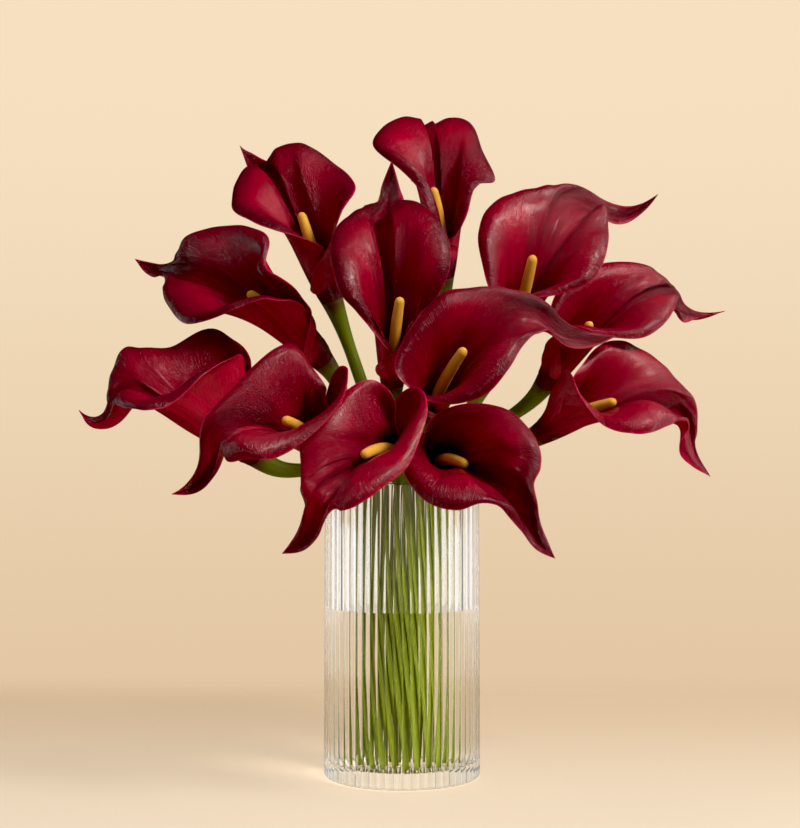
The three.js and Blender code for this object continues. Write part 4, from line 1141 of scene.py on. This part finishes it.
def floor_material(settings):
    """Pale and matt, fading out at the edges so that the table has no visible end."""
    made, nodes, shader, output, place = new_material("Table top")
    mottle = use_group(nodes, mottle_group(), {"Place": place, "Scale": 6.0, "High": 0.06})
    sides = nodes.add("SeparateXYZ", {"Vector": place}).outputs
    colour = nodes.blend(mottle["Value"], settings.floor, settings.wall_high)
    colour = nodes.blend(nodes.stretch(sides["Y"], -0.2, 0.3), colour, settings.wall_low)
    nodes.put(shader.inputs["Base Color"], nodes.blend(0.68, colour, (0.0, 0.0, 0.0)))
    nodes.put(shader.inputs["Emission Color"], colour)
    set_plain(shader, Roughness=0.75, Specular_IOR_Level=0.1, Emission_Strength=0.76)
    deep = nodes.stretch(nodes.math("ABSOLUTE", sides["Y"]), *FLOOR_FADE)
    wide = nodes.stretch(nodes.math("ABSOLUTE", sides["X"]), *FLOOR_FADE_WIDE)
    gone = nodes.math("MAXIMUM", deep, wide)
    passing = nodes.add("BsdfTransparent")
    mixed = nodes.mix_shaders(gone, shader.outputs["BSDF"], passing.outputs["BSDF"])
    nodes.put(output.inputs["Surface"], mixed)
    return made


# ---- studio --------------------------------------------------------------------------------

FLOOR_FADE = (0.28, 0.46)         # from the vase to where the table has faded out, front to back
FLOOR_FADE_WIDE = (0.8, 1.2)      # and side to side
UNDER_VASE = 0.3 * MM             # between the vase and the table top
HEART = (0, 0, 0.27)              # the middle of the bouquet, which the lamps point at
RIGHT_SHARE = 0.3                 # power of the far right gloss lamp, next to the main one
STRIP_PLACE = 0.75                # from the vase to each tall strip beside it
THROUGH_GLASS = 0.12              # how much brighter the room is where glass shows it
MIRRORED = 0.08                   # how bright it is in reflections
DEEPEST = 0.005                   # light below this prints as black


def soft_world(settings):
    """A pale room that is lighter above and darker behind the camera. It is seen directly and
    through glass; as a light, and in reflections, it is much dimmer."""
    world = bpy.data.worlds.new("Pale studio")
    world.use_nodes = True
    world.node_tree.nodes.clear()
    nodes = Nodes(world.node_tree)
    way = nodes.add("TexCoord").outputs["Generated"]
    sides = nodes.add("SeparateXYZ", {"Vector": way}).outputs
    wall = nodes.blend(nodes.stretch(sides["Z"], -0.22, 0.30), settings.wall_low,
                       settings.wall_high)
    across = nodes.stretch(nodes.math("ABSOLUTE", sides["X"]), 0.30, 0.52)
    wall = nodes.blend(across, wall, (0.92, 0.88, 0.83))
    seen = nodes.blend(nodes.stretch(sides["Y"], -0.8, -0.3), linear(214, 198, 176), wall)
    path = nodes.add("LightPath").outputs
    strength = nodes.math("ADD", 1.0, nodes.math("MULTIPLY", path["Is Transmission Ray"],
                                                 THROUGH_GLASS))
    backdrop = nodes.add("Background", {"Color": seen, "Strength": strength})
    felt = nodes.blend(nodes.stretch(sides["Z"], -0.4, 0.8), (0.11, 0.095, 0.085),
                       (0.20, 0.19, 0.18))
    room = nodes.add("Background", {"Color": felt, "Strength": 1.0})
    mirrored = nodes.add("Background", {"Color": felt, "Strength": MIRRORED})
    looked_at = nodes.math("MAXIMUM", path["Is Camera Ray"], path["Is Transmission Ray"])
    within = nodes.math("MINIMUM", path["Transmission Depth"], path["Is Glossy Ray"])
    looked_at = nodes.math("MAXIMUM", looked_at, within, clamp=True)
    lighting = nodes.mix_shaders(path["Is Glossy Ray"], room.outputs["Background"],
                                 mirrored.outputs["Background"])
    mixed = nodes.mix_shaders(looked_at, lighting, backdrop.outputs["Background"])
    output = nodes.add("OutputWorld")
    nodes.put(output.inputs["Surface"], mixed)
    bpy.context.scene.world = world


def soft_light(name, place, aim, size, power, colour, gloss_only):
    """A rectangular lamp that either lights the scene without showing in it as gloss, or is
    only there as gloss."""
    lamp = bpy.data.lights.new(name, "AREA")
    lamp.shape = "RECTANGLE"
    lamp.size, lamp.size_y = size
    lamp.energy = power
    lamp.color = colour
    made = bpy.data.objects.new(name, lamp)
    made.location = place
    made.rotation_euler = (Vector(aim) - Vector(place)).to_track_quat("-Z", "Y").to_euler()
    made.visible_glossy = gloss_only
    made.visible_diffuse = not gloss_only
    bpy.context.scene.collection.objects.link(made)


def photo_camera():
    lens = bpy.data.cameras.new("Camera")
    lens.sensor_width = SENSOR
    lens.lens = FOCAL_LENGTH_PX / PICTURE_HEIGHT_PX * SENSOR
    lens.clip_start = 0.01
    made = bpy.data.objects.new("Camera", lens)
    made.location = CAMERA_PLACE
    made.rotation_euler = (math.radians(90 + CAMERA_RISE), 0, 0)
    bpy.context.scene.collection.objects.link(made)
    bpy.context.scene.camera = made


# ---- operators -----------------------------------------------------------------------------

def all_blooms():
    return [Bloom(number, table) for number, table in enumerate(BLOOMS, start=1)]


class CALLA_OT_vase(bpy.types.Operator):
    """Make the ribbed glass vase"""
    bl_idname = "calla.vase"
    bl_label = "Ribbed vase"

    def execute(self, context):
        settings = context.scene.calla_vase
        glass = clear_material("Clear glass", settings.glass_colour, settings.glass_ior)
        wetted = clear_material("Wetted glass", (1.0, 1.0, 1.0),
                                settings.glass_ior / settings.water_ior)
        make_vase(settings, glass, wetted)
        return {"FINISHED"}


class CALLA_OT_water(bpy.types.Operator):
    """Fill the vase with water"""
    bl_idname = "calla.water"
    bl_label = "Water"

    def execute(self, context):
        settings = context.scene.calla_vase
        white = (1.0, 1.0, 1.0)
        make_water(settings, clear_material("Still water", white, settings.water_ior),
                   clear_material("Water at the glass", white, 1.0))
        return {"FINISHED"}


class CALLA_OT_stems(bpy.types.Operator):
    """Make the twelve stems"""
    bl_idname = "calla.stems"
    bl_label = "Stems"

    def execute(self, context):
        settings = context.scene.calla_stem
        material = stem_material(settings)
        for bloom in all_blooms():
            make_stem(bloom, settings, material)
        return {"FINISHED"}


class CALLA_OT_spathes(bpy.types.Operator):
    """Make the twelve wine-red spathes"""
    bl_idname = "calla.spathes"
    bl_label = "Spathes"

    def execute(self, context):
        settings = context.scene.calla_spathe
        material = spathe_material(settings)
        for bloom in all_blooms():
            make_spathe(bloom, settings, material)
        return {"FINISHED"}


class CALLA_OT_spadices(bpy.types.Operator):
    """Make the twelve golden spadices"""
    bl_idname = "calla.spadices"
    bl_label = "Spadices"

    def execute(self, context):
        settings = context.scene.calla_spadix
        material = spadix_material(settings)
        for bloom in all_blooms():
            make_spadix(bloom, settings, material)
        return {"FINISHED"}


class CALLA_OT_stage(bpy.types.Operator):
    """Make the table top, the room, the lights and the camera"""
    bl_idname = "calla.stage"
    bl_label = "Studio"

    def execute(self, context):
        settings = context.scene.calla_stage
        wide, deep = FLOOR_FADE_WIDE[1], FLOOR_FADE[1]
        low = -UNDER_VASE
        corners = [(-wide, -deep, low), (wide, -deep, low), (wide, deep, low), (-wide, deep, low)]
        mesh = bpy.data.meshes.new("Table_top")
        mesh.from_pydata(corners, [], [(0, 1, 2, 3)])
        mesh.materials.append(floor_material(settings))
        table = bpy.data.objects.new("Table_top", mesh)
        context.scene.collection.objects.link(table)
        table.visible_glossy = False
        soft_world(settings)
        warm = linear(255, 250, 242)
        lamps = (
            ("Wide_light", (0.2, -1.1, 0.55), (0.8, 0.8), settings.wide, False),
            ("Top_light", (-0.5, -0.1, 1.25), (0.25, 0.25), settings.top, False),
            ("Key_light", (0.78, -0.64, 1.10), (0.3, 0.3), settings.key, False),
            ("Gloss_light", (0.74, -0.66, 1.15), (0.36, 0.3), settings.gloss, True),
            ("Right_gloss", (1.1, 0.1, 0.95), (0.3, 0.3), RIGHT_SHARE * settings.gloss, True),
            ("Side_light", (-0.95, -0.4, 0.7), (0.3, 0.5), settings.side, False),
        )
        for name, place, size, power, gloss_only in lamps:
            soft_light(name, place, HEART, size, power, warm, gloss_only)
        for name, x in (("Left_strip", -STRIP_PLACE), ("Right_strip", STRIP_PLACE)):
            soft_light(name, (x, 0.25, 0.2), (0, 0, 0.1), (0.12, 0.5), settings.strips,
                       (1, 1, 1), True)
        photo_camera()
        view = context.scene.view_settings
        view.view_transform = "Standard"
        view.use_curve_mapping = True
        view.curve_mapping.black_level = (DEEPEST, DEEPEST, DEEPEST)
        return {"FINISHED"}


class CALLA_PT_bouquet(bpy.types.Panel):
    """Sizes, colours and steps of the bouquet"""
    bl_idname = "CALLA_PT_bouquet"
    bl_label = "Calla lilies"
    bl_space_type = "VIEW_3D"
    bl_region_type = "UI"
    bl_category = "Callas"

    def draw(self, context):
        for key, steps in PANEL:
            box = self.layout.box()
            settings = getattr(context.scene, key)
            for name in settings.__annotations__:
                box.prop(settings, name)
            for step in steps:
                box.operator(step.bl_idname)


PANEL = [
    ("calla_vase", (CALLA_OT_vase, CALLA_OT_water)),
    ("calla_stem", (CALLA_OT_stems,)),
    ("calla_spathe", (CALLA_OT_spathes,)),
    ("calla_spadix", (CALLA_OT_spadices,)),
    ("calla_stage", (CALLA_OT_stage,)),
]
GROUPS = {"calla_vase": VaseSettings, "calla_stem": StemSettings,
          "calla_spathe": SpatheSettings, "calla_spadix": SpadixSettings,
          "calla_stage": StageSettings}
OPERATORS = (CALLA_OT_vase, CALLA_OT_water, CALLA_OT_stems, CALLA_OT_spathes,
             CALLA_OT_spadices, CALLA_OT_stage)
CLASSES = (*GROUPS.values(), *OPERATORS, CALLA_PT_bouquet)


def register():
    for one in CLASSES:
        bpy.utils.register_class(one)
    for key, settings in GROUPS.items():
        setattr(bpy.types.Scene, key, PointerProperty(type=settings))


def unregister():
    for key in GROUPS:
        delattr(bpy.types.Scene, key)
    for one in reversed(CLASSES):
        bpy.utils.unregister_class(one)


def main():
    register()
    bpy.ops.calla.vase()
    bpy.ops.calla.water()
    bpy.ops.calla.stems()
    bpy.ops.calla.spathes()
    bpy.ops.calla.spadices()
    bpy.ops.calla.stage()
    bpy.context.view_layer.update()


if __name__ == "__main__":
    main()
